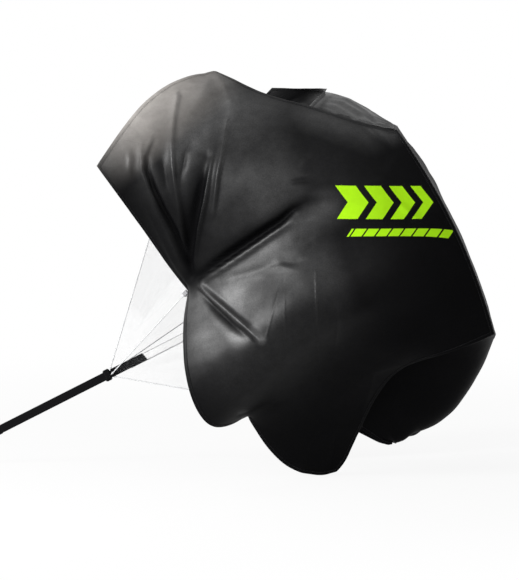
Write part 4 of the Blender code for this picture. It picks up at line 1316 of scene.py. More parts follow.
@dataclass
class Canopy:
    """The canopy: one sheet whose four arms are sewn to the crown, its hems, seams and stitches."""

    depth: float = 600 * MM
    width: float = 840 * MM
    height: float = 840 * MM
    sheet_side: float = 1.42
    cut_area: float = 1.50
    hem_width: float = 9 * MM
    hem_thickness: float = 1.0 * MM
    seam_width: float = 9 * MM
    far_lobe_shift: float = 34 * MM
    patch_reach: float = 50 * MM
    wrinkle_scales: tuple[float, float] = (9.0, 27.0)
    wrinkle_heights: tuple[float, float] = (3.0 * MM, 0.8 * MM)
    pucker_height: float = 2.0 * MM
    pucker_reach: float = 0.45
    # The painted sheen of the coat: its least, on the crown and on the hems and seams; it falls to painted
    # shade in grooves and where the hem is gathered.
    least_painted_sheen: float = 0.005
    crown_painted_sheen: float = 0.12
    band_painted_sheen: float = 0.7
    groove_depth: float = 10 * MM
    gather_reach: float = 22.0
    # How the painted light at the lit rim lies: its inset and fade across the rim, and its run along it.
    rim_inset: float = 26.0
    rim_fade: float = 62.0
    rim_run: tuple[float, float, float] = (-6.0, 178.0, 60.0)
    gather_pixel: tuple[float, float] = (189.0, 280.0)
    print_pixel: tuple[float, float] = (334.0, 240.0)
    print_window: tuple[float, float, float, float] = (330, 440, 170, 246)
    lit_rim: Points = field(default_factory=lambda: [(98.0, 165.0), (215.0, 71.0)])
    seed: int = 7
    panels: dict[str, Panel] = field(default_factory=dict)

    # The borders of the five panels, in shares of depth, width and height.
    corners = {
        "near_top": (0.962, -0.280, 0.230),
        "near_bottom": (0.940, -0.280, -0.335),
        "far_top": (0.870, 0.280, 0.185),
        "far_bottom": (0.865, 0.280, -0.310),
    }
    arches = {
        "near": ("near_top", "near_bottom", (0.045, -0.058, 0.0)),
        "far": ("far_top", "far_bottom", (0.005, 0.058, 0.0)),
        "top": ("near_top", "far_top", (0.010, 0.0, 0.020)),
        "bottom": ("near_bottom", "far_bottom", (0.0, 0.0, -0.020)),
    }
    near_hem = [
        *[(0.455, -0.175, 0.575), (0.248, -0.280, 0.592), (-0.024, -0.375, 0.494)],
        *[(0.044, -0.288, 0.108), (-0.060, -0.432, -0.040), (-0.090, -0.413, -0.213)],
        *[(0.034, -0.300, -0.238), (0.066, -0.262, -0.402), (0.215, -0.213, -0.480)],
    ]
    near_first = [(0.860, -0.270, 0.285), (0.723, -0.238, 0.383), (0.610, -0.213, 0.447)]
    near_last = [(0.751, -0.325, -0.324), (0.561, -0.295, -0.305), (0.353, -0.243, -0.403)]
    far_upper_hem = [(0.43, 0.18, 0.49), (0.245, 0.285, 0.5), (0.01, 0.37, 0.415), (0.075, 0.288, 0.04)]
    far_first = [(0.780, 0.272, 0.235), (0.660, 0.238, 0.325), (0.560, 0.213, 0.385)]
    top_hem = [
        *[(0.687, -0.188, 0.376), (0.783, -0.125, 0.398), (0.578, 0.088, 0.456), (0.034, 0.050, 0.319)],
        *[(0.320, 0.150, 0.415), (0.590, 0.180, 0.365), (0.640, 0.180, 0.290)],
    ]
    top_first = [(0.885, -0.242, 0.268), (0.785, -0.215, 0.325)]
    top_last = [(0.795, 0.245, 0.198), (0.715, 0.215, 0.248)]
    bottom_hem = [
        *[(0.343, -0.180, -0.393), (0.400, -0.138, -0.476), (0.260, -0.050, -0.360), (0.128, -0.083, -0.267)],
        *[(0.235, 0.075, -0.355), (0.411, 0.145, -0.486), (0.345, 0.185, -0.400)],
    ]
    bottom_first = [(0.745, -0.262, -0.316), (0.535, -0.240, -0.285)]
    bottom_last = [(0.690, 0.262, -0.320), (0.530, 0.232, -0.322)]
    # Size laid flat, swell and how far it spreads near the hem, sharp points of the hem, and times halved.
    plans = {
        "near": ((0.86, 0.60), (0.0, -0.125, 0.0), 0.0, (2, 3, 6), 5),
        "far": ((0.84, 0.58), (0.0, 0.125, 0.0), 0.0, (2, 3, 6), 4),
        "top": ((0.62, 0.42), (0.0, 0.0, 0.060), 0.0, (1, 2, 3, 5), 4),
        "bottom": ((0.62, 0.36), (-0.050, 0.0, -0.230), 0.9, (1, 3, 5), 4),
    }
    # How corners of the hems are rounded off: column, point aimed at, reach and depth in millimetres.
    softened = {
        "near": [(0, (-41, 40), 60, 13), (-1, (-41, -41), 56, 12)],
        "bottom": [(16, (-17, 16), 36, 8), (-17, (-17, -17), 40, 16)],
    }

    def point(self, shares: Shares) -> Vector:
        """A point of the chute frame from its shares of the canopy's sizes."""
        return Vector((shares[0] * self.depth, shares[1] * self.width, shares[2] * self.height))

    def crown_edge(self, side: str, count: int) -> list[Vector]:
        """The seam between the crown and one side, as a cage line.

        Args:
            side: which side.
            count: how many points.

        Returns:
            The points, in the order of the side's columns.
        """
        first, last, arch = self.arches[side]
        a, b, bow = self.point(self.corners[first]), self.point(self.corners[last]), self.point(arch)
        shares = [k / (count - 1) for k in range(count)]
        return [a.lerp(b, t) + bow * (4 * t * (1 - t)) for t in shares]

    def moved_level(self, shares: list[Shares]) -> list[Shares]:
        """Points mirrored to the far side and moved level against the wind.

        Args:
            shares: points of the near side.

        Returns:
            Their shares on the far side.
        """
        pitch = math.radians(CHUTE.pitch_deg)
        dx = self.far_lobe_shift * math.cos(pitch) / self.depth
        dz = self.far_lobe_shift * math.sin(pitch) / self.height
        return [(x - dx, -y, z + dz) for x, y, z in shares]

    @staticmethod
    def spanned(borders: list[list[Vector]], bulge: Vector, fullness: float = 0.0) -> list[list[Vector]]:
        """A cage that spans four border lines and swells between them.

        Args:
            borders: the lines at the crown, the hem, and the first and last side edge.
            bulge: how far the middle swells.
            fullness: how far the swell spreads sideways near the hem, from 0 to 1.

        Returns:
            Rows of points from the crown to the hem.
        """
        crown, hem, first, last = borders
        rows, columns = len(first), len(hem)
        cage = []
        for i in range(rows):
            v = i / (rows - 1)
            line = []
            for j in range(columns):
                u = j / (columns - 1)
                corners = crown[0].lerp(crown[-1], u).lerp(hem[0].lerp(hem[-1], u), v)
                swell = max(0.0, math.sin(math.pi * u)) ** (1 - fullness * v) * math.sin(math.pi * v)
                sides = crown[j].lerp(hem[j], v) + first[i].lerp(last[i], u)
                line.append(sides - corners + bulge * swell)
            cage.append(line)
        return cage

    @staticmethod
    def drawn_through(line: list[Vector], sharp: tuple[int, ...] = ()) -> list[Vector]:
        """Moves a border's smooth points out, so that its rounded line passes through them.

        Args:
            line: the border's points.
            sharp: which of them stay where they are.

        Returns:
            The moved points.
        """
        kept = [p.copy() for p in line]
        for k in range(1, len(line) - 1):
            if k not in sharp:
                kept[k] = line[k] + (2 * line[k] - line[k - 1] - line[k + 1]) / 6
        return kept

    def finish_cage(self, cage: list[list[Vector]], sharp: tuple[int, ...]) -> list[list[Vector]]:
        """Draws the four borders of a cage through their points.

        Args:
            cage: rows of points.
            sharp: the hem's points that stay sharp.

        Returns:
            The same cage.
        """
        cage[0] = self.drawn_through(cage[0])
        cage[-1] = self.drawn_through(cage[-1], sharp)
        for column in (0, -1):
            line = self.drawn_through([row[column] for row in cage])
            for row, place in zip(cage, line):
                row[column] = place
        return cage

    def shape(self) -> None:
        """Makes the five panels' grids."""
        far_hem = self.far_upper_hem + self.moved_level(self.near_hem[4:])
        far_last = self.moved_level(self.near_last)
        borders = {
            "near": (self.near_hem, self.near_first, self.near_last),
            "far": (far_hem, self.far_first, far_last),
            "top": (self.top_hem, self.top_first, self.top_last),
            "bottom": (self.bottom_hem, self.bottom_first, self.bottom_last),
        }
        for side, (size, bulge, fullness, sharp, level) in self.plans.items():
            hem, first, last = ([self.point(s) for s in line] for line in borders[side])
            crown = self.crown_edge(side, len(hem))
            sides = ([crown[0], *first, hem[0]], [crown[-1], *last, hem[-1]])
            cage = self.spanned([crown, hem, *sides], self.point(bulge), fullness)
            panel = Panel(side, size, level, sharp, side == "near", self.finish_cage(cage, sharp))
            panel.round_off()
            for column, aim, reach, depth in self.softened.get(side, []):
                panel.soften_corner(column, aim, reach * MM, depth * MM)
            self.panels[side] = panel
        edges = [self.crown_edge(s, n) for s, n in (("near", 9), ("far", 9), ("top", 7), ("bottom", 7))]
        cage = self.spanned(edges, self.point((0.012, 0, 0)))
        self.panels["crown"] = Panel("crown", (0.56, 0.48), 4, cage=self.finish_cage(cage, ()))
        self.panels["crown"].round_off()

    def fan(self, panel: Panel, pinch: float, count: int, reach: float, rng: random.Random) -> list[Fold]:
        """Folds that run from the gathered place of a hem into its panel.

        Args:
            panel: the panel.
            pinch: the share of the hem where it is gathered.
            count: how many folds.
            reach: how far they run, in shares of the panel's height.
            rng: the order of their differences.

        Returns:
            The folds, on the panel's cloth in metres.
        """
        width, height = panel.size
        centre = Vector((pinch * width, height))
        found = []
        for k in range(count):
            turn = math.radians(-150 + 120 * (k + 0.5) / count + rng.uniform(-6, 6))
            length = height * reach * rng.uniform(0.55, 1.15)
            bend = rng.uniform(-0.12, 0.12)
            line = []
            for t in (0.04, 0.3, 0.6, 1.0):
                angle = turn + bend * t
                line.extend(centre + Vector((math.cos(angle), math.sin(angle))) * length * t)
            shape = (R, G, P)[k % 3]
            found.append(Fold(tuple(line), rng.uniform(4, 9) * MM, rng.uniform(8, 13) * MM, shape, 0.4))
        return found

    def wrinkles(self, panel: Panel) -> np.ndarray:
        """Soft, wandering unevenness all over a panel, which fades out at its seam.

        Args:
            panel: the panel.

        Returns:
            Its heights.
        """
        flat = panel.grid.reshape(-1, 3)
        (few, many), (high, low) = self.wrinkle_scales, self.wrinkle_heights
        coarse = np.array([noise.noise(Vector(p) * few) for p in flat])
        fine = np.array([noise.noise(Vector(p) * many + Vector((5, 1, 3))) for p in flat])
        return (coarse * high + fine * low).reshape(panel.grid.shape[:2])

    def fold(self) -> None:
        """Puts the folds and wrinkles into the panels."""
        rng = random.Random(self.seed)
        for name, panel in self.panels.items():
            if name == "crown":
                self.fold_crown(panel)
            else:
                self.fold_side(name, panel, rng)

    def fold_crown(self, panel: Panel) -> None:
        """Folds the crown, except at its seams and under the patch.

        Args:
            panel: the crown.
        """
        u, v = np.moveaxis(panel.shares(), -1, 0)
        cloth = panel.cloth()
        panel.relief = sum(fold.lift(cloth) for fold in CROWN_FOLDS)
        inside = np.minimum(np.minimum(u, 1 - u), np.minimum(v, 1 - v)) * 8
        middle = np.linalg.norm(cloth - np.array(panel.size) / 2, axis=-1)
        hold = np.clip(inside, 0, 1) * np.clip((middle - self.patch_reach) / self.patch_reach, 0, 1)
        panel.lift((self.wrinkles(panel) + panel.relief) * hold)
        # Under the patch and at the seams the crown's painted sheen is cut, as painted shade.
        panel.relief = panel.relief - (1 - hold) * 12 * MM

    def fold_side(self, name: str, panel: Panel, rng: random.Random) -> None:
        """Folds a side panel, except at its seam.

        Args:
            name: the panel's name.
            panel: the panel.
            rng: the order of the differences between gathered folds.
        """
        heights = self.wrinkles(panel)
        seen, cloth = VIEW.pixels(panel.grid, CHUTE), panel.cloth()
        if name == "near":
            panel.relief = sum(fold.lift(seen) for fold in NEAR_FOLDS)
        else:
            gathered = (0.375, 11, 0.75) if name == "far" else (0.5, 8, 0.7)
            folds = self.fan(panel, *gathered, rng) + list(BOTTOM_FOLDS if name == "bottom" else ())
            panel.relief = sum(fold.lift(cloth) for fold in folds)
        if name == "top":
            panel.relief = panel.relief + sum(fold.lift(seen) for fold in TOP_FOLDS)
            heights = heights + self.puckers(panel)
        panel.lift((heights + panel.relief) * np.clip(panel.shares()[..., 1] * 9, 0, 1))

    def puckers(self, panel: Panel) -> np.ndarray:
        """Fine puckers that run in from a seam, as where thread has drawn the cloth together.

        Args:
            panel: the panel.

        Returns:
            Their heights.
        """
        u, v = np.moveaxis(panel.shares(), -1, 0)
        fade = np.clip((self.pucker_reach - v) / self.pucker_reach, 0, 1)
        wave = np.sin(u * 96 + np.sin(u * 23) * 2.2 + v * 9) + 0.6 * np.sin(u * 171 + v * 31)
        return wave * fade * self.pucker_height

    def print_places(self, panel: Panel) -> np.ndarray:
        """Places on the printed mark, in metres from its lower left corner, laid on the cloth.

        The mark's axes are the cloth's own, turned and scaled to be level where the view shows it.

        Args:
            panel: the panel towards the viewer.

        Returns:
            The two numbers at each point of the grid.
        """
        x, y = np.moveaxis(VIEW.pixels(panel.grid, CHUTE), -1, 0)
        wanted = np.stack([x - self.print_pixel[0], self.print_pixel[1] - y], axis=-1) * VIEW.pixel
        left, right, top, bottom = self.print_window
        inside = (x > left) & (x < right) & (y > top) & (y < bottom)
        u, v = np.moveaxis(panel.cloth(), -1, 0)
        terms = np.stack([np.ones_like(u), u, v, u * u, u * v, v * v], axis=-1)
        return terms @ np.linalg.lstsq(terms[inside], wanted[inside], rcond=None)[0]

    def painted_through_light(self, points: np.ndarray) -> np.ndarray:
        """Where light shining through the cloth is painted into its colour: the outer rim of the lobe that
        stands up to windward.

        Args:
            points: world points of the panel towards the viewer.

        Returns:
            A number from 0 to 1 at each.
        """
        a, b = np.array(self.lit_rim)
        ahead = (b - a) / np.linalg.norm(b - a)
        away = VIEW.pixels(points, CHUTE) - a
        depth, along = away @ np.array([-ahead[1], ahead[0]]), away @ ahead
        rim = np.clip(1 - (depth + self.rim_inset) / self.rim_fade, 0, 1) ** 1.2
        start, end, soft = self.rim_run
        return rim * np.clip((along - start) / soft, 0, 1) * np.clip((end - along) / soft, 0, 1)

    def painted_sheen_and_shade(self, name: str, points: np.ndarray, relief: np.ndarray | float = 0.0) -> np.ndarray:
        """The painted sheen of the cloth's coat: strong along strokes drawn where light falls, cut as painted
        shade in its grooves and where the hem is gathered.

        Args:
            name: the panel.
            points: world points.
            relief: how far the folds raise the cloth there, in metres.

        Returns:
            A number from 0 to 1 at each.
        """
        seen = VIEW.pixels(points, CHUTE)
        painted_sheen = np.full(seen.shape[:-1], self.crown_painted_sheen if name == "crown" else self.least_painted_sheen)
        for stroke in SHEEN_STROKES.get(name, ()):
            painted_sheen = np.maximum(painted_sheen, stroke.lift(seen))
        # Painted shade: less sheen where the hem is gathered and in the grooves, more on ridges.
        gathered = np.linalg.norm(seen - np.array(self.gather_pixel), axis=-1)
        painted_sheen = painted_sheen * np.clip(gathered / self.gather_reach, 0.2, 1)
        return np.clip(painted_sheen * np.clip(1 + relief / self.groove_depth, 0.03, 1.4), 0, 1)

    def dress_bands(self, bm: BMesh, ends: dict[str, int]) -> None:
        """Stores the painted sheen and the painted light of the rim on every vertex of the hems or seams.

        Args:
            bm: their mesh, in the world.
            ends: where each panel's vertices end, in the order in which they were made.
        """
        places = np.array([v.co for v in bm.verts])
        painted_light_and_density, painted_sheen = np.zeros(len(places)), np.zeros(len(places))
        start = 0
        for name, end in ends.items():
            painted_sheen[start:end] = self.painted_sheen_and_shade(name, places[start:end]) * self.band_painted_sheen
            if name == "near":
                painted_light_and_density[start:end] = self.painted_through_light(places[start:end])
            start = end
        carry(bm, bm.verts, PAINTED_SHEEN_AND_SHADE, painted_sheen)
        carry(bm, bm.verts, PAINTED_LIGHT_AND_DENSITY, painted_light_and_density)

    def build_sheet(self) -> Object:
        """Joins the panels into one sheet of cloth.

        Returns:
            The sheet.
        """
        bm = cloth_mesh(PAINTED_LIGHT_AND_DENSITY, PAINTED_SHEEN_AND_SHADE)
        for shift, (name, panel) in enumerate(self.panels.items()):
            painted_light_and_density = self.painted_through_light(panel.grid) if name == "near" else np.zeros(panel.grid.shape[:2])
            painted_sheen = self.painted_sheen_and_shade(name, panel.grid, panel.relief)
            add_grid(bm, panel.grid, panel.cloth() + np.array([shift, 0.0]), **{PAINTED_LIGHT_AND_DENSITY: painted_light_and_density, PAINTED_SHEEN_AND_SHADE: painted_sheen})
        bmesh.ops.remove_doubles(bm, verts=bm.verts, dist=0.02 * MM)
        panels = ("crown_panel", "near_panel", "top_panel", "far_panel", "bottom_panel")
        return piece("canopy_sheet", bm, Finish.TAFFETA, "canopy", panels)

    def build_print(self) -> Object:
        """Lays the printed film on the outside of the panel towards the viewer.

        Returns:
            The film.
        """
        panel = self.panels["near"]
        places = self.print_places(panel)
        half = np.array(Finish.PRINT.value.size) / 2
        rows, columns = np.nonzero((np.abs(places - half) < half).all(axis=-1))
        part = (slice(rows.min(), rows.max() + 2), slice(columns.min(), columns.max() + 2))
        bm = cloth_mesh()
        add_grid(bm, (panel.grid + panel.normals() * 0.25 * MM)[part], places[part])
        return piece("canopy_print", bm, Finish.PRINT, "canopy", turn_out=False)

    def build_bands(
        self,
        names: tuple[str, str],
        lines: dict[str, list[Path]],
        outline: Points,
        rows: Points,
        inset: float,
    ) -> list[Object]:
        """Lays bands of cloth along lines of the panels and stitches them.

        Args:
            names: the names of the bands and of their stitches.
            lines: each panel's lines.
            outline: the bands' section.
            rows: where the rows of stitches run, sideways and above the line.
            inset: how far from the lines' ends the stitches stay.

        Returns:
            The two pieces.
        """
        bands, threads, ends = cloth_mesh(PAINTED_LIGHT_AND_DENSITY, PAINTED_SHEEN_AND_SHADE), bmesh.new(), {}
        for name, paths in lines.items():
            for path in paths:
                add_sweep(bands, path, outline)
                for side, lift in rows:
                    Stitching().add_row(threads, path, side, lift, inset)
            ends[name] = len(bands.verts)
        self.dress_bands(bands, ends)
        return [
            piece(names[0], bands, Finish.HEM, "canopy"),
            piece(names[1], threads, Finish.BLACK_THREAD, "canopy"),
        ]

    def build_hems(self) -> list[Object]:
        """Turns a folded hem round every free edge and stitches it.

        Returns:
            The hems and their stitches.
        """
        w, t = self.hem_width, self.hem_thickness / 2
        outline = [(-0.5 * t, -0.6 * t), (0.0, -t), (w * 0.97, -t * 0.8), (w, -t * 0.3)]
        outline += [(a, -b) for a, b in reversed(outline)]
        lines = {name: self.panels[name].free_edges() for name in ("near", "far", "top", "bottom")}
        rows = [(w - 1.8 * MM, t), (w - 1.8 * MM, -t)]
        return self.build_bands(("canopy_hems", "hem_stitches"), lines, outline, rows, 4 * MM)

    def build_seams(self) -> list[Object]:
        """Lays a felled seam along the four edges of the crown, with two rows of stitches.

        Returns:
            The seams and their stitches.
        """
        lines = {}
        for name in ("near", "far", "top", "bottom"):
            seam = self.panels[name].sewn_edge()
            lines[name] = [Path(seam.at(self.seam_width / 2, 0.0), seam.sides, seam.normals)]
        rows = [(side * MM, lift * MM) for side in (-3.0, 3.0) for lift in (0.8, -0.8)]
        outline = flat_profile(self.seam_width, 1.5 * MM)
        return self.build_bands(("crown_seams", "seam_stitches"), lines, outline, rows, 3 * MM)

    def build(self) -> None:
        """Builds the canopy: shapes and folds its panels, then makes its sheet, print, hems and seams."""
        self.shape()
        self.fold()
        sheet = self.build_sheet()
        extras = [self.build_print(), *self.build_hems(), *self.build_seams()]


# Net cone, risers and hem loops


@dataclass
class NetCone:
    """The net between collar and canopy: four panels, four risers, and a loop of tape for each riser."""

    canopy: Canopy
    collar_x: float = -236 * MM
    collar_length: float = 14 * MM
    webbing: float = 1.6 * MM
    webbing_width: float = 20 * MM
    clearance: float = 0.4 * MM
    riser: float = 2.5 * MM
    loop_length: float = 16 * MM
    loop_bore: float = 4 * MM
    loop_tape: float = 1.0 * MM
    loop_width: float = 9 * MM
    start_share: float = 0.05
    belly: float = 0.10
    scallop: float = 0.16
    pleats: int = 7
    pleat_heights: tuple[float, float] = (1.2 * MM, 2.6 * MM)
    pleat_drift: float = 2.3
    knot_insets: tuple[float, float] = (6 * MM, 5 * MM)
    knot_half: float = 4.5 * MM
    rows: int = 56
    columns: int = 72

    order = ("near", "top", "far", "bottom")
    faces = {"near": (-1, -0.20), "top": (-1, 0.30), "far": (1, 0.20), "bottom": (1, -0.30)}

    def pinches(self) -> dict[str, Vector]:
        """The four gathered places of the hem, in the chute frame.

        Returns:
            A place by side.
        """
        c = self.canopy
        hems = {"near": c.near_hem, "top": c.top_hem, "far": c.far_upper_hem, "bottom": c.bottom_hem}
        return {side: c.point(hem[3]) for side, hem in hems.items()}

    def roots(self) -> dict[str, Vector]:
        """Where each riser leaves the collar, in the chute frame.

        Returns:
            A place by side.
        """
        turn = Matrix.Rotation(math.radians(CHUTE.webbing_turn_deg), 3, "X")
        offset = self.webbing / 2 + self.clearance + self.riser / 2
        x = self.collar_x + self.collar_length / 2 + self.riser / 2 + self.clearance
        return {
            side: turn @ Vector((x, face * offset, share * self.webbing_width))
            for side, (face, share) in self.faces.items()
        }

    def fronts(self) -> dict[str, Vector]:
        """Where each riser ends, in front of its hem loop.

        Returns:
            A place by side, in the chute frame.
        """
        roots, found = self.roots(), {}
        for side, pinch in self.pinches().items():
            towards = (pinch - roots[side]).normalized()
            found[side] = pinch - towards * (self.loop_length + 2 * self.clearance)
        return found

    def net_points(self, side: str, other: str) -> np.ndarray:
        """The points of one net panel.

        Args:
            side: the riser at its first edge.
            other: the riser at its last edge.

        Returns:
            A grid of world points, from the collar to the canopy.
        """
        roots, ends = self.roots(), self.fronts()
        pinches = self.pinches()
        middle = np.array(sum(pinches.values(), Vector()) / 4)
        t = self.start_share + (1 - self.start_share) * np.linspace(0, 1, self.rows)[:, None, None]
        u = np.linspace(0, 1, self.columns)[None, :, None]
        lines = [np.array(v) for v in (roots[side], ends[side], roots[other], ends[other])]
        a = lines[0] * (1 - t) + lines[1] * t
        b = lines[2] * (1 - t) + lines[3] * t
        point = a * (1 - u) + b * u
        hump = 4 * u * (1 - u)
        point = point + (middle - point) * self.scallop * hump * t
        point = point + np.array([self.canopy.depth * self.belly, 0, 0]) * hump * t * t
        square = unit(np.cross(b - a, lines[1] - lines[0]))
        wave = np.sin(2 * math.pi * self.pleats * u + self.pleat_drift * np.sin(5.1 * u)) * np.sqrt(hump)
        low, growth = self.pleat_heights
        point = point + square * wave * (low + growth * t) * t
        return CHUTE.world(point)

    def build_nets(self) -> None:
        """Builds the four net panels with their bound rear edges."""
        for k, side in enumerate(self.order):
            other = self.order[(k + 1) % 4]
            grid = self.net_points(side, other)
            far = np.linalg.norm(grid[-1] - grid[0], axis=-1).mean()
            span = along_path(grid[-1])[-1]
            u, v = np.meshgrid(np.linspace(0, 1, self.columns), np.linspace(0, 1, self.rows))
            uvs = np.stack([(u - 0.5) * span * (0.12 + 0.88 * v), v * far], axis=-1)
            # How dense the net is towards the canopy, raised on the near side; where it is high the net is
            # greyed as painted shade.
            density_and_painted_shade = np.clip((v - 0.15) * 2.5, 0, 0.35 if side == "bottom" else 0.7)
            if side == "near":
                density_and_painted_shade = density_and_painted_shade * (1 + np.clip((u - 0.42) * 6, 0, 1))
            bm = cloth_mesh(PAINTED_LIGHT_AND_DENSITY)
            add_grid(bm, grid, uvs, **{PAINTED_LIGHT_AND_DENSITY: density_and_painted_shade})
            name = f"net_{side}_{other}"
            net = piece(f"{name}_mesh", bm, Finish.NET, "canopy", (name,))
            band = cloth_mesh()
            rim = Path.facing(grid[-1], unit(grid[-4] - grid[-1]))
            add_sweep(band, rim, flat_profile(5 * MM, 0.7 * MM))
            edge = piece(f"{name}_binding", band, Finish.PALE_WEBBING, "canopy")

    @staticmethod
    def area_of(grid: np.ndarray) -> float:
        """The area of a grid of points."""
        a, b = np.diff(grid, axis=0)[:, :-1], np.diff(grid, axis=1)[:-1]
        return float(np.linalg.norm(np.cross(a, b), axis=-1).sum())

    def build_riser(self, side: str) -> None:
        """Builds one riser: a braided cord with a stopper knot at both ends.

        Args:
            side: the side of the canopy that it pulls on.
        """
        a, b = self.roots()[side], self.fronts()[side]
        line = np.array([a.lerp(b, t) for t in np.linspace(0, 1, 40)])
        path = Path.facing(CHUTE.world(line), np.array([0.13, 0.21, 0.97]))
        bm = cloth_mesh()
        add_sweep(bm, path, round_profile(self.riser / 2 * 0.94))
        far = along_path(path.places)
        for centre in (self.knot_insets[0], far[-1] - self.knot_insets[1]):
            near = np.linspace(centre - self.knot_half, centre + self.knot_half, 15)
            places = interpolated(near, far, path.places)
            wrap = Path.facing(places, path.sides[0])
            share = (near - centre) / (self.knot_half + 0.1 * MM)
            swell = 0.45 + 0.75 * np.sqrt(np.maximum(0, 1 - share**2))
            ring = round_profile(self.riser * 0.62, 14)
            grid = np.stack([
                wrap.places + wrap.sides * (x * swell)[:, None] + wrap.normals * (y * swell)[:, None]
                for x, y in [*ring, ring[0]]
            ])
            uvs = np.stack(np.broadcast_arrays(near[None, :], np.linspace(0, 8 * MM, 15)[:, None]), axis=-1)
            verts = add_grid(bm, grid, uvs)
            bmesh.ops.remove_doubles(bm, verts=verts, dist=1e-6)
        piece(f"riser_{side}_cord", bm, Finish.BRAID, "canopy", (f"riser_{side}",))

    def build_loop(self, side: str) -> None:
        """Builds the folded loop of tape at one gathered place of the hem.

        Args:
            side: the side of the canopy.
        """
        root, pinch = self.roots()[side], self.pinches()[side]
        towards = (pinch - root).normalized()
        centre = pinch - towards * (self.loop_length / 2 + self.clearance)
        turn = towards.to_track_quat("X", "Z").to_matrix().to_4x4()
        matrix = CHUTE.matrix() @ Matrix.Translation(centre) @ turn
        half = self.loop_length / 2 - self.loop_bore / 2 - self.loop_tape
        mid = (self.loop_bore + self.loop_tape) / 2
        line = arc((half, 0.0), mid, -90, 90, 12) + arc((-half, 0.0), mid, 90, 270, 12)
        places = moved(np.array([(x, y, 0.0) for x, y in line]), matrix)
        bm = cloth_mesh()
        along, _, across = np.array(matrix)[:3, :3].T
        add_sweep(bm, Path.facing(places, across), flat_profile(self.loop_width, self.loop_tape), closed=True)
        finish = Finish.GREY_TAPE if side == "near" else Finish.TAPE
        piece(f"hem_loop_{side}_tape", bm, finish, "canopy", (f"hem_loop_{side}",))
        threads = bmesh.new()
        rows = Stitching(2.0 * MM, 2.4 * MM, 0.45 * MM)
        reach = self.loop_width * 0.42
        for x in (half - 0.5 * MM, half - 2.5 * MM, 0.0, -half + 1.5 * MM):
            for y in (-mid - self.loop_tape / 2, mid + self.loop_tape / 2):
                row = moved(np.array([(x, y, -reach), (x, y, 0.0), (x, y, reach)]), matrix)
                rows.add_row(threads, Path.facing(row, along), 0.0, 0.0)
        piece(f"hem_loop_{side}_tacks", threads, Finish.BLACK_THREAD, "canopy")

    def build_collar(self) -> None:
        """Builds the sewn sleeve that holds the net and the risers on the tow strap."""
        matrix = CHUTE.strap_matrix()
        half_w = self.webbing_width / 2 + self.clearance + 0.8 * MM
        half_t = self.webbing / 2 + self.clearance + 0.9 * MM
        line = rounded_box(half_t - 0.5 * MM, half_w, 0.5 * MM, 6)
        places = moved(np.array([(self.collar_x, a, b) for a, b in line]), matrix)
        outward = unit(places - places.mean(axis=0))
        path = Path.facing(places, np.array(matrix)[:3, 0])
        if (path.normals * outward).sum() < 0:
            path = Path(path.places, path.sides, -path.normals)
        bm = cloth_mesh()
        for width, lift in ((self.collar_length, 0.0), (self.collar_length * 0.72, 1.1 * MM)):
            layer = Path(path.at(0.0, lift), path.sides, path.normals)
            add_sweep(bm, layer, flat_profile(width, 1.1 * MM), closed=True)
        piece("net_collar_sleeve", bm, Finish.TOW_WEBBING, "canopy", ("net_collar",))
        threads = bmesh.new()
        for side in (-4.2 * MM, 4.2 * MM):
            Stitching(2.0 * MM, 2.6 * MM).add_row(threads, path, side, 1.75 * MM)
        piece("net_collar_stitches", threads, Finish.BLACK_THREAD, "canopy")

    def build(self) -> None:
        """Builds the nets, risers, loops and collar."""
        self.build_nets()
        for side in self.order:
            self.build_riser(side)
            self.build_loop(side)
        self.build_collar()


# Straps


@dataclass
class Strap:
    """Flat webbing that follows a line in the XY plane of its own frame, its width along Z."""

    name: str
    line: Points
    matrix: Matrix
    finish: Finish
    replaced: str
    body: str = "canopy"
    slot: str = "black_webbing"
    width: float = 20 * MM
    thickness: float = 1.6 * MM
    slant: float = 0.0
    pitch: float = 4 * MM
    stitch_lift: float = 0.9 * MM

    def path(self) -> Path:
        """The strap's centre line in the world, with its side along its width.

        Returns:
            The path, with points at least every few millimetres.
        """
        flat = np.array([(x, y, 0.0) for x, y in self.line])
        far = along_path(flat)
        kept = np.unique(np.concatenate([far, np.arange(0, far[-1], self.pitch)]))
        kept = kept[np.concatenate([[True], np.diff(kept) > 0.2 * MM])]
        places = moved(interpolated(kept, far, flat), self.matrix)
        return Path.facing(places, np.array(self.matrix)[:3, 2])

    def build(self) -> Object:
        """Builds the strap.

        Returns:
            The strap's piece.
        """
        path = self.path()
        bm = cloth_mesh()
        if self.slant:
            ahead = unit(path.places[1] - path.places[0])
            for k, fade in enumerate((1.0, 0.5)):
                path.sides[k] = path.sides[k] + ahead * self.slant * fade
        add_sweep(bm, path, flat_profile(self.width, self.thickness))
        return piece(self.name, bm, self.finish, self.body, (self.replaced,))

    def add_box_stitch(self, bm: BMesh, start: float, end: float, lift: float) -> None:
        """Adds a stitched box with a cross between two distances along the strap.

        Args:
            bm: the mesh to add to.
            start: where the box begins.
            end: where it ends.
            lift: its height above the centre line.
        """
        path = self.path()
        far = along_path(path.places)
        keep = (far >= start) & (far <= end)
        part = Path(path.places[keep], path.sides[keep], path.normals[keep])
        edge = self.width / 2 - 2.2 * MM
        rows = Stitching(2.4 * MM, 3.0 * MM, 0.6 * MM)
        for side in (-edge, edge):
            rows.add_row(bm, part, side, lift)
        s, n = part.sides[0], part.normals[0]
        ends = (part.places[0], part.places[-1])
        (p, q), (r, t) = [[end + s * k * edge + n * lift for k in (-1, 1)] for end in ends]
        for a, b in ((p, q), (r, t), (p, t), (q, r)):
            sides, normals = np.tile(unit(np.cross(n, b - a)), (3, 1)), np.tile(n, (3, 1))
            rows.add_row(bm, Path(np.stack([a, (a + b) / 2, b]), sides, normals), 0.0, 0.0)


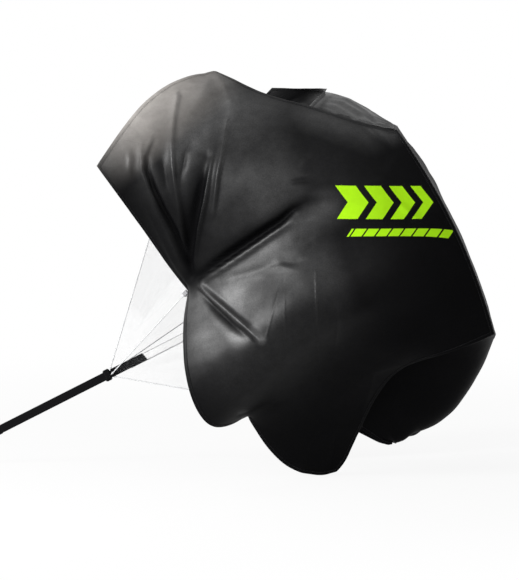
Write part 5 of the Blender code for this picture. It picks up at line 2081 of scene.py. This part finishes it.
def eased(x0: float, y0: float, x1: float, y1: float, steps: int = 12) -> Points:
    """Points from one place to another, level at both ends, along X."""
    shares = [k / steps for k in range(steps + 1)]
    return [(x0 + (x1 - x0) * t, y0 + (y1 - y0) * t * t * (3 - 2 * t)) for t in shares]


def arc(centre: tuple[float, float], radius: float, start: float, end: float, steps: int = 20) -> Points:
    """Points on an arc, both ends included, with its angles in degrees."""
    turns = [math.radians(start + (end - start) * k / steps) for k in range(steps + 1)]
    return [(centre[0] + radius * math.cos(a), centre[1] + radius * math.sin(a)) for a in turns]


@dataclass
class TowLine:
    """The tow strap with its sewn bight, the pale strap in the mouth, and the patch inside the crown."""

    inner_end: float = -147 * MM
    eye_bar: float = 0.0
    eye_wire: float = 3.6 * MM
    width: float = 20 * MM
    thickness: float = 1.6 * MM
    clearance: float = 0.4 * MM
    ease: float = 30 * MM
    fold_back: float = 48 * MM
    lap: float = 36 * MM
    layer_gap: float = 0.5 * MM
    slant: float = 0.28

    def __post_init__(self) -> None:
        """Finds the eye's bar from the CAD model's joint, which lies on it."""
        spin = next(j for j in frame["joints"] if j["name"] == "swivel_spin")
        away = Vector(spin["pos_m"]) - Vector(CHUTE.origin)
        self.eye_bar = -away.length

    def tether_line(self) -> Points:
        """The tow strap's centre line, from its inner end round the eye's bar and back.

        Returns:
            Its points.
        """
        radius = (self.eye_wire + self.thickness) / 2 + self.clearance
        layer = self.thickness + self.layer_gap
        bar = self.eye_bar
        line = [(self.inner_end, 0.0)]
        line += eased(bar + self.ease, 0.0, bar, -radius)
        line += arc((bar, 0.0), radius, 270, 90)[1:]
        line += eased(bar, radius, bar + self.ease, layer)[1:]
        line.append((bar + self.fold_back, layer))
        return line

    def build(self) -> None:
        matrix = CHUTE.strap_matrix()
        line, slant = self.tether_line(), self.slant
        tether = Strap("tow_strap", line, matrix, Finish.TOW_WEBBING, "tether_strap", slant=slant)
        made = tether.build()
        path = tether.path()
        threads = bmesh.new()
        total = along_path(path.places)[-1]
        for lift in (-tether.stitch_lift, tether.stitch_lift):
            tether.add_box_stitch(threads, total - self.fold_back + 12 * MM, total - 3 * MM, lift)
        tether.add_box_stitch(threads, 4 * MM, self.lap - 4 * MM, tether.stitch_lift)
        stitches = piece("tow_strap_stitches", threads, Finish.BLACK_THREAD, "canopy")
        self.build_inner(matrix)

    def build_inner(self, matrix: Matrix) -> None:
        """Builds the pale strap and its patch.

        Args:
            matrix: the straps' frame.
        """
        axis = matrix.to_3x3() @ Vector((1, 0, 0))
        end = max((Vector(c) - Vector(CHUTE.origin)).dot(axis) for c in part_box("inner_strap")) - 3 * MM
        layer = self.thickness + self.layer_gap
        line = [(self.inner_end - self.lap, layer), (end, layer)]
        strap = Strap("pale_strap", line, matrix, Finish.PALE_WEBBING, "inner_strap", slot="pale_webbing")
        strap.build()
        threads = bmesh.new()
        strap.add_box_stitch(threads, 5 * MM, self.lap - 4 * MM, strap.stitch_lift)
        piece("pale_strap_stitches", threads, Finish.WHITE_THREAD, "canopy")
        self.build_patch()

    def build_patch(self) -> None:
        """Builds the square patch inside the crown from the CAD node's own face directions."""
        places = np.array([v.co for v in frame["nodes"]["crown_patch"].data.vertices])
        centre = places.mean(axis=0)
        away = places - centre
        _, up, through = np.linalg.svd(away, full_matrices=False)[2]
        diagonal = away[np.argmax(np.abs(away @ unit(np.cross(up, through))))]
        first = unit(diagonal - through * (diagonal @ through))
        side = unit(first + np.cross(through, first))
        half = float(np.abs(away @ side).max()) - 0.4 * MM
        line = np.stack([centre + side * half * t for t in np.linspace(-1, 1, 24)])
        path = Path.facing(line, unit(np.cross(through, side)))
        bm = cloth_mesh()
        add_sweep(bm, path, flat_profile(2 * half, self.thickness))
        piece("crown_patch_cloth", bm, Finish.TAPE, "canopy", ("crown_patch",))


# Belt and hardware


@dataclass
class Belt:
    """The waist belt: its webbing and the elastic loop on its tail."""

    run: float = 380 * MM
    spread: float = 100 * MM
    tail: float = 110 * MM
    sewn_return: float = 42 * MM
    width: float = 38 * MM
    thickness: float = 1.6 * MM
    clearance: float = 0.4 * MM
    layer_gap: float = 0.5 * MM
    ease: float = 30 * MM
    bar: float = 4 * MM
    bar_inset: float = 3.5 * MM
    split: float = 0.6 * MM
    male_length: float = 22 * MM
    female_length: float = 40 * MM
    loop_width: float = 14 * MM
    loop_wall: float = 1.2 * MM
    tail_share: float = 0.55
    centre: tuple[float, float, float] = (-0.542097, 0.000428, 0.023)

    def male_bar(self) -> float:
        """Where the plug half's bar is, along the belt's straight back."""
        return -self.split / 2 - self.male_length + self.bar_inset

    def line(self) -> Points:
        """The webbing's centre line, from the tail's end round to the sewn end.

        Returns:
            Its points.
        """
        radius, half = self.spread / 2, self.run / 2
        wrap = (self.bar + self.thickness) / 2 + self.clearance
        back, plane = -self.spread, -self.spread - wrap
        layer = self.thickness + self.layer_gap
        male = self.male_bar()
        female = self.split / 2 + self.female_length - self.bar_inset
        line = [(back - layer, male - self.tail)]
        line += [(b, a) for a, b in eased(male - self.ease, back - layer, male, plane - wrap)]
        line += arc((plane, male), wrap, 180, 0)[1:]
        line += [(back, male - self.ease)]
        line += arc((-radius, -half), radius, 180, 360, 40)
        line += arc((-radius, half), radius, 0, 180, 40)
        line += arc((plane, female), wrap, 0, -180)
        line += [(b, a) for a, b in eased(female, plane - wrap, female + self.ease, back - layer)[1:]]
        line.append((back - layer, female + self.sewn_return))
        return line

    def build(self) -> None:
        """Builds the webbing, its stitches and the tail's loop."""
        line, matrix, width = self.line(), Matrix.Translation(self.centre), self.width
        strap = Strap("belt_strap", line, matrix, Finish.BELT_WEBBING, "belt_webbing", "belt", width=width)
        strap.build()
        total = along_path(strap.path().places)[-1]
        threads = bmesh.new()
        for lift in (strap.stitch_lift, -strap.stitch_lift):
            strap.add_box_stitch(threads, total - self.sewn_return + 14 * MM, total - 3 * MM, lift)
        strap.add_box_stitch(threads, 3 * MM, 14 * MM, strap.stitch_lift)
        piece("belt_stitches", threads, Finish.BLACK_THREAD, "belt")
        self.build_tail_loop()

    def build_tail_loop(self) -> None:
        """Builds the ribbed elastic loop round the belt and its tail."""
        layers = 2 * self.thickness + self.layer_gap + 2 * self.clearance
        half_x = layers / 2 + self.loop_wall / 2
        half_z = self.width / 2 + self.clearance + self.loop_wall / 2
        x = -self.spread - (self.thickness + self.layer_gap) / 2
        y = self.male_bar() - self.tail * self.tail_share
        corner = 1.2 * MM
        line = rounded_box(half_x - corner, half_z - corner, corner, 5)
        places = np.array([(x + a, y, b) for a, b in line]) + np.array(self.centre)
        path = Path.facing(places, np.array([0.0, 1.0, 0.0]))
        bm = cloth_mesh()
        add_sweep(bm, path, flat_profile(self.loop_width, self.loop_wall), closed=True)
        piece("tail_loop_elastic", bm, Finish.ELASTIC, "tail_loop", ("tail_loop",))


@dataclass
class Hardware:
    """The carried-over CAD nodes and their finishes."""

    steel: tuple[str, ...] = ("swivel_eye", "snap_hook", "hook_gate", "gate_pin", "d_ring")
    plastic: tuple[str, ...] = ("ring_keeper", "buckle_female", "buckle_male", "prong_upper", "prong_lower")

    def dress(self) -> None:
        """Gives each node its finish."""
        for finish, names in ((Finish.STEEL, self.steel), (Finish.PLASTIC, self.plastic)):
            for name in names:
                mesh = frame["nodes"][name].data
                mesh.materials.clear()
                mesh.materials.append(finish.material())
                LOG.info("%s: dressed in %s", name, finish.value.name)


# Floor, light and camera


@dataclass
class Studio:
    """A plain pale floor, soft light and the photograph's camera."""

    distance: float = 48.0
    frame_reach: float = 1.008
    aim: tuple[float, float] = (-0.6, 0.4)
    sensor: float = 36.0
    clip_end: float = 200.0
    floor_side: float = 60.0
    floor_glow_share: float = 0.90
    shadow_reach: tuple[float, float] = (1.1, 2.8)
    surround: float = 0.26
    middle: tuple[float, float, float] = (0.22, 0.0, 0.42)

    @staticmethod
    def stand(made: Object, aim: np.ndarray, away: np.ndarray, distance: float) -> None:
        """Stands a camera or lamp off a point and turns it there.

        Args:
            made: the camera or lamp.
            aim: the point.
            away: the direction from the point, of length 1.
            distance: how far off it stands.
        """
        made.location = aim + away * distance
        made.rotation_mode = "QUATERNION"
        made.rotation_quaternion = Vector(-away).to_track_quat("-Z", "Y")

    def build_camera(self) -> None:
        """Makes the camera, far off and with a long lens, as flat as the photograph looks."""
        right, up, back = VIEW.axes()
        width, height = VIEW.size
        target = np.array(CHUTE.origin)
        target = target + right * (width / 2 - VIEW.anchor[0] + self.aim[0]) * VIEW.pixel
        target = target + up * (VIEW.anchor[1] - height / 2 - self.aim[1]) * VIEW.pixel
        data = bpy.data.cameras.new("camera")
        data.sensor_width = self.sensor
        data.lens = self.sensor * self.distance / (max(width, height) * VIEW.pixel * self.frame_reach)
        data.clip_end = self.clip_end
        camera = linked("camera", data)
        self.stand(camera, target, back, self.distance)
        bpy.context.scene.camera = camera

    def build_floor(self) -> None:
        """Makes the floor, which keeps a light shadow of the object."""
        bm = bmesh.new()
        bmesh.ops.create_grid(bm, x_segments=2, y_segments=2, size=self.floor_side / 2)
        mesh = mesh_of("floor", bm)
        floor = linked("floor", mesh)
        paper = Surface("floor_paper")
        mesh.materials.append(paper.done(Base_Color=(0.9, 0.9, 0.9), Roughness=0.9))
        glow = paper.node("ShaderNodeEmission", None, {"Strength": 1.0})
        lit = Value(paper, paper.shader.outputs[0])
        x, y, _ = paper.split(paper.object_place())
        far = ((x * x + y * y) ** 0.5).step(*self.shadow_reach)
        share = paper.seen_directly() * (self.floor_glow_share + far * (1 - self.floor_glow_share))
        mixed = paper.node("ShaderNodeMixShader", None, {0: share, 1: lit, 2: glow})
        paper.put(paper.tree.nodes["Material Output"].inputs["Surface"], mixed)

    def build_world(self) -> None:
        """Makes a white surround that gives less light than it shows."""
        world = bpy.data.worlds.new("surround")
        bpy.context.scene.world = world
        world.use_nodes = True
        g = Graph(world.node_tree)
        light = g.node("ShaderNodeBackground", None, {"Color": (1.0, 1.0, 1.0), "Strength": self.surround})
        shown = g.node("ShaderNodeBackground", None, {"Color": (1.0, 1.0, 1.0), "Strength": 1.0})
        mixed = g.node("ShaderNodeMixShader", None, {0: g.seen_directly(), 1: light, 2: shown})
        g.put(g.tree.nodes["World Output"].inputs["Surface"], mixed)

    def add_lamp(self, name: str, turn: Shares, distance: float, size: float, power: float) -> None:
        """Adds a soft square lamp that points at the canopy's middle.

        Args:
            name: the lamp's name.
            turn: where it stands as seen from the camera: to the right, up, and back towards it.
            distance: how far it is from the canopy's middle.
            size: its side.
            power: its power in watts.
        """
        data = bpy.data.lights.new(name, "AREA")
        data.size = size
        data.energy = power
        away = unit(sum(a * s for a, s in zip(VIEW.axes(), turn)))
        self.stand(linked(name, data), np.array(self.middle), away, distance)

    def build(self) -> None:
        """Builds floor, surround and lamps, and sets the colour view."""
        self.build_floor()
        self.build_world()
        self.add_lamp("key", (-0.80, 0.25, 0.55), 3.6, 1.1, 128.0)
        self.add_lamp("fill", (0.25, 0.40, 0.88), 4.0, 2.2, 26.0)
        self.add_lamp("back", (-0.45, 0.62, -0.65), 3.4, 1.2, 26.0)
        bpy.context.scene.view_settings.view_transform = "Standard"


def main() -> None:
    """Builds the scene in order: camera and tow line first, then canopy, net, belt, hardware and light."""
    logging.basicConfig(level=logging.INFO, format="%(name)s: %(message)s")
    studio = Studio()
    studio.build_camera()
    TowLine().build()
    canopy = Canopy()
    canopy.build()
    NetCone(canopy).build()
    Belt().build()
    Hardware().dress()
    studio.build()


if __name__ == "__main__":
    main()
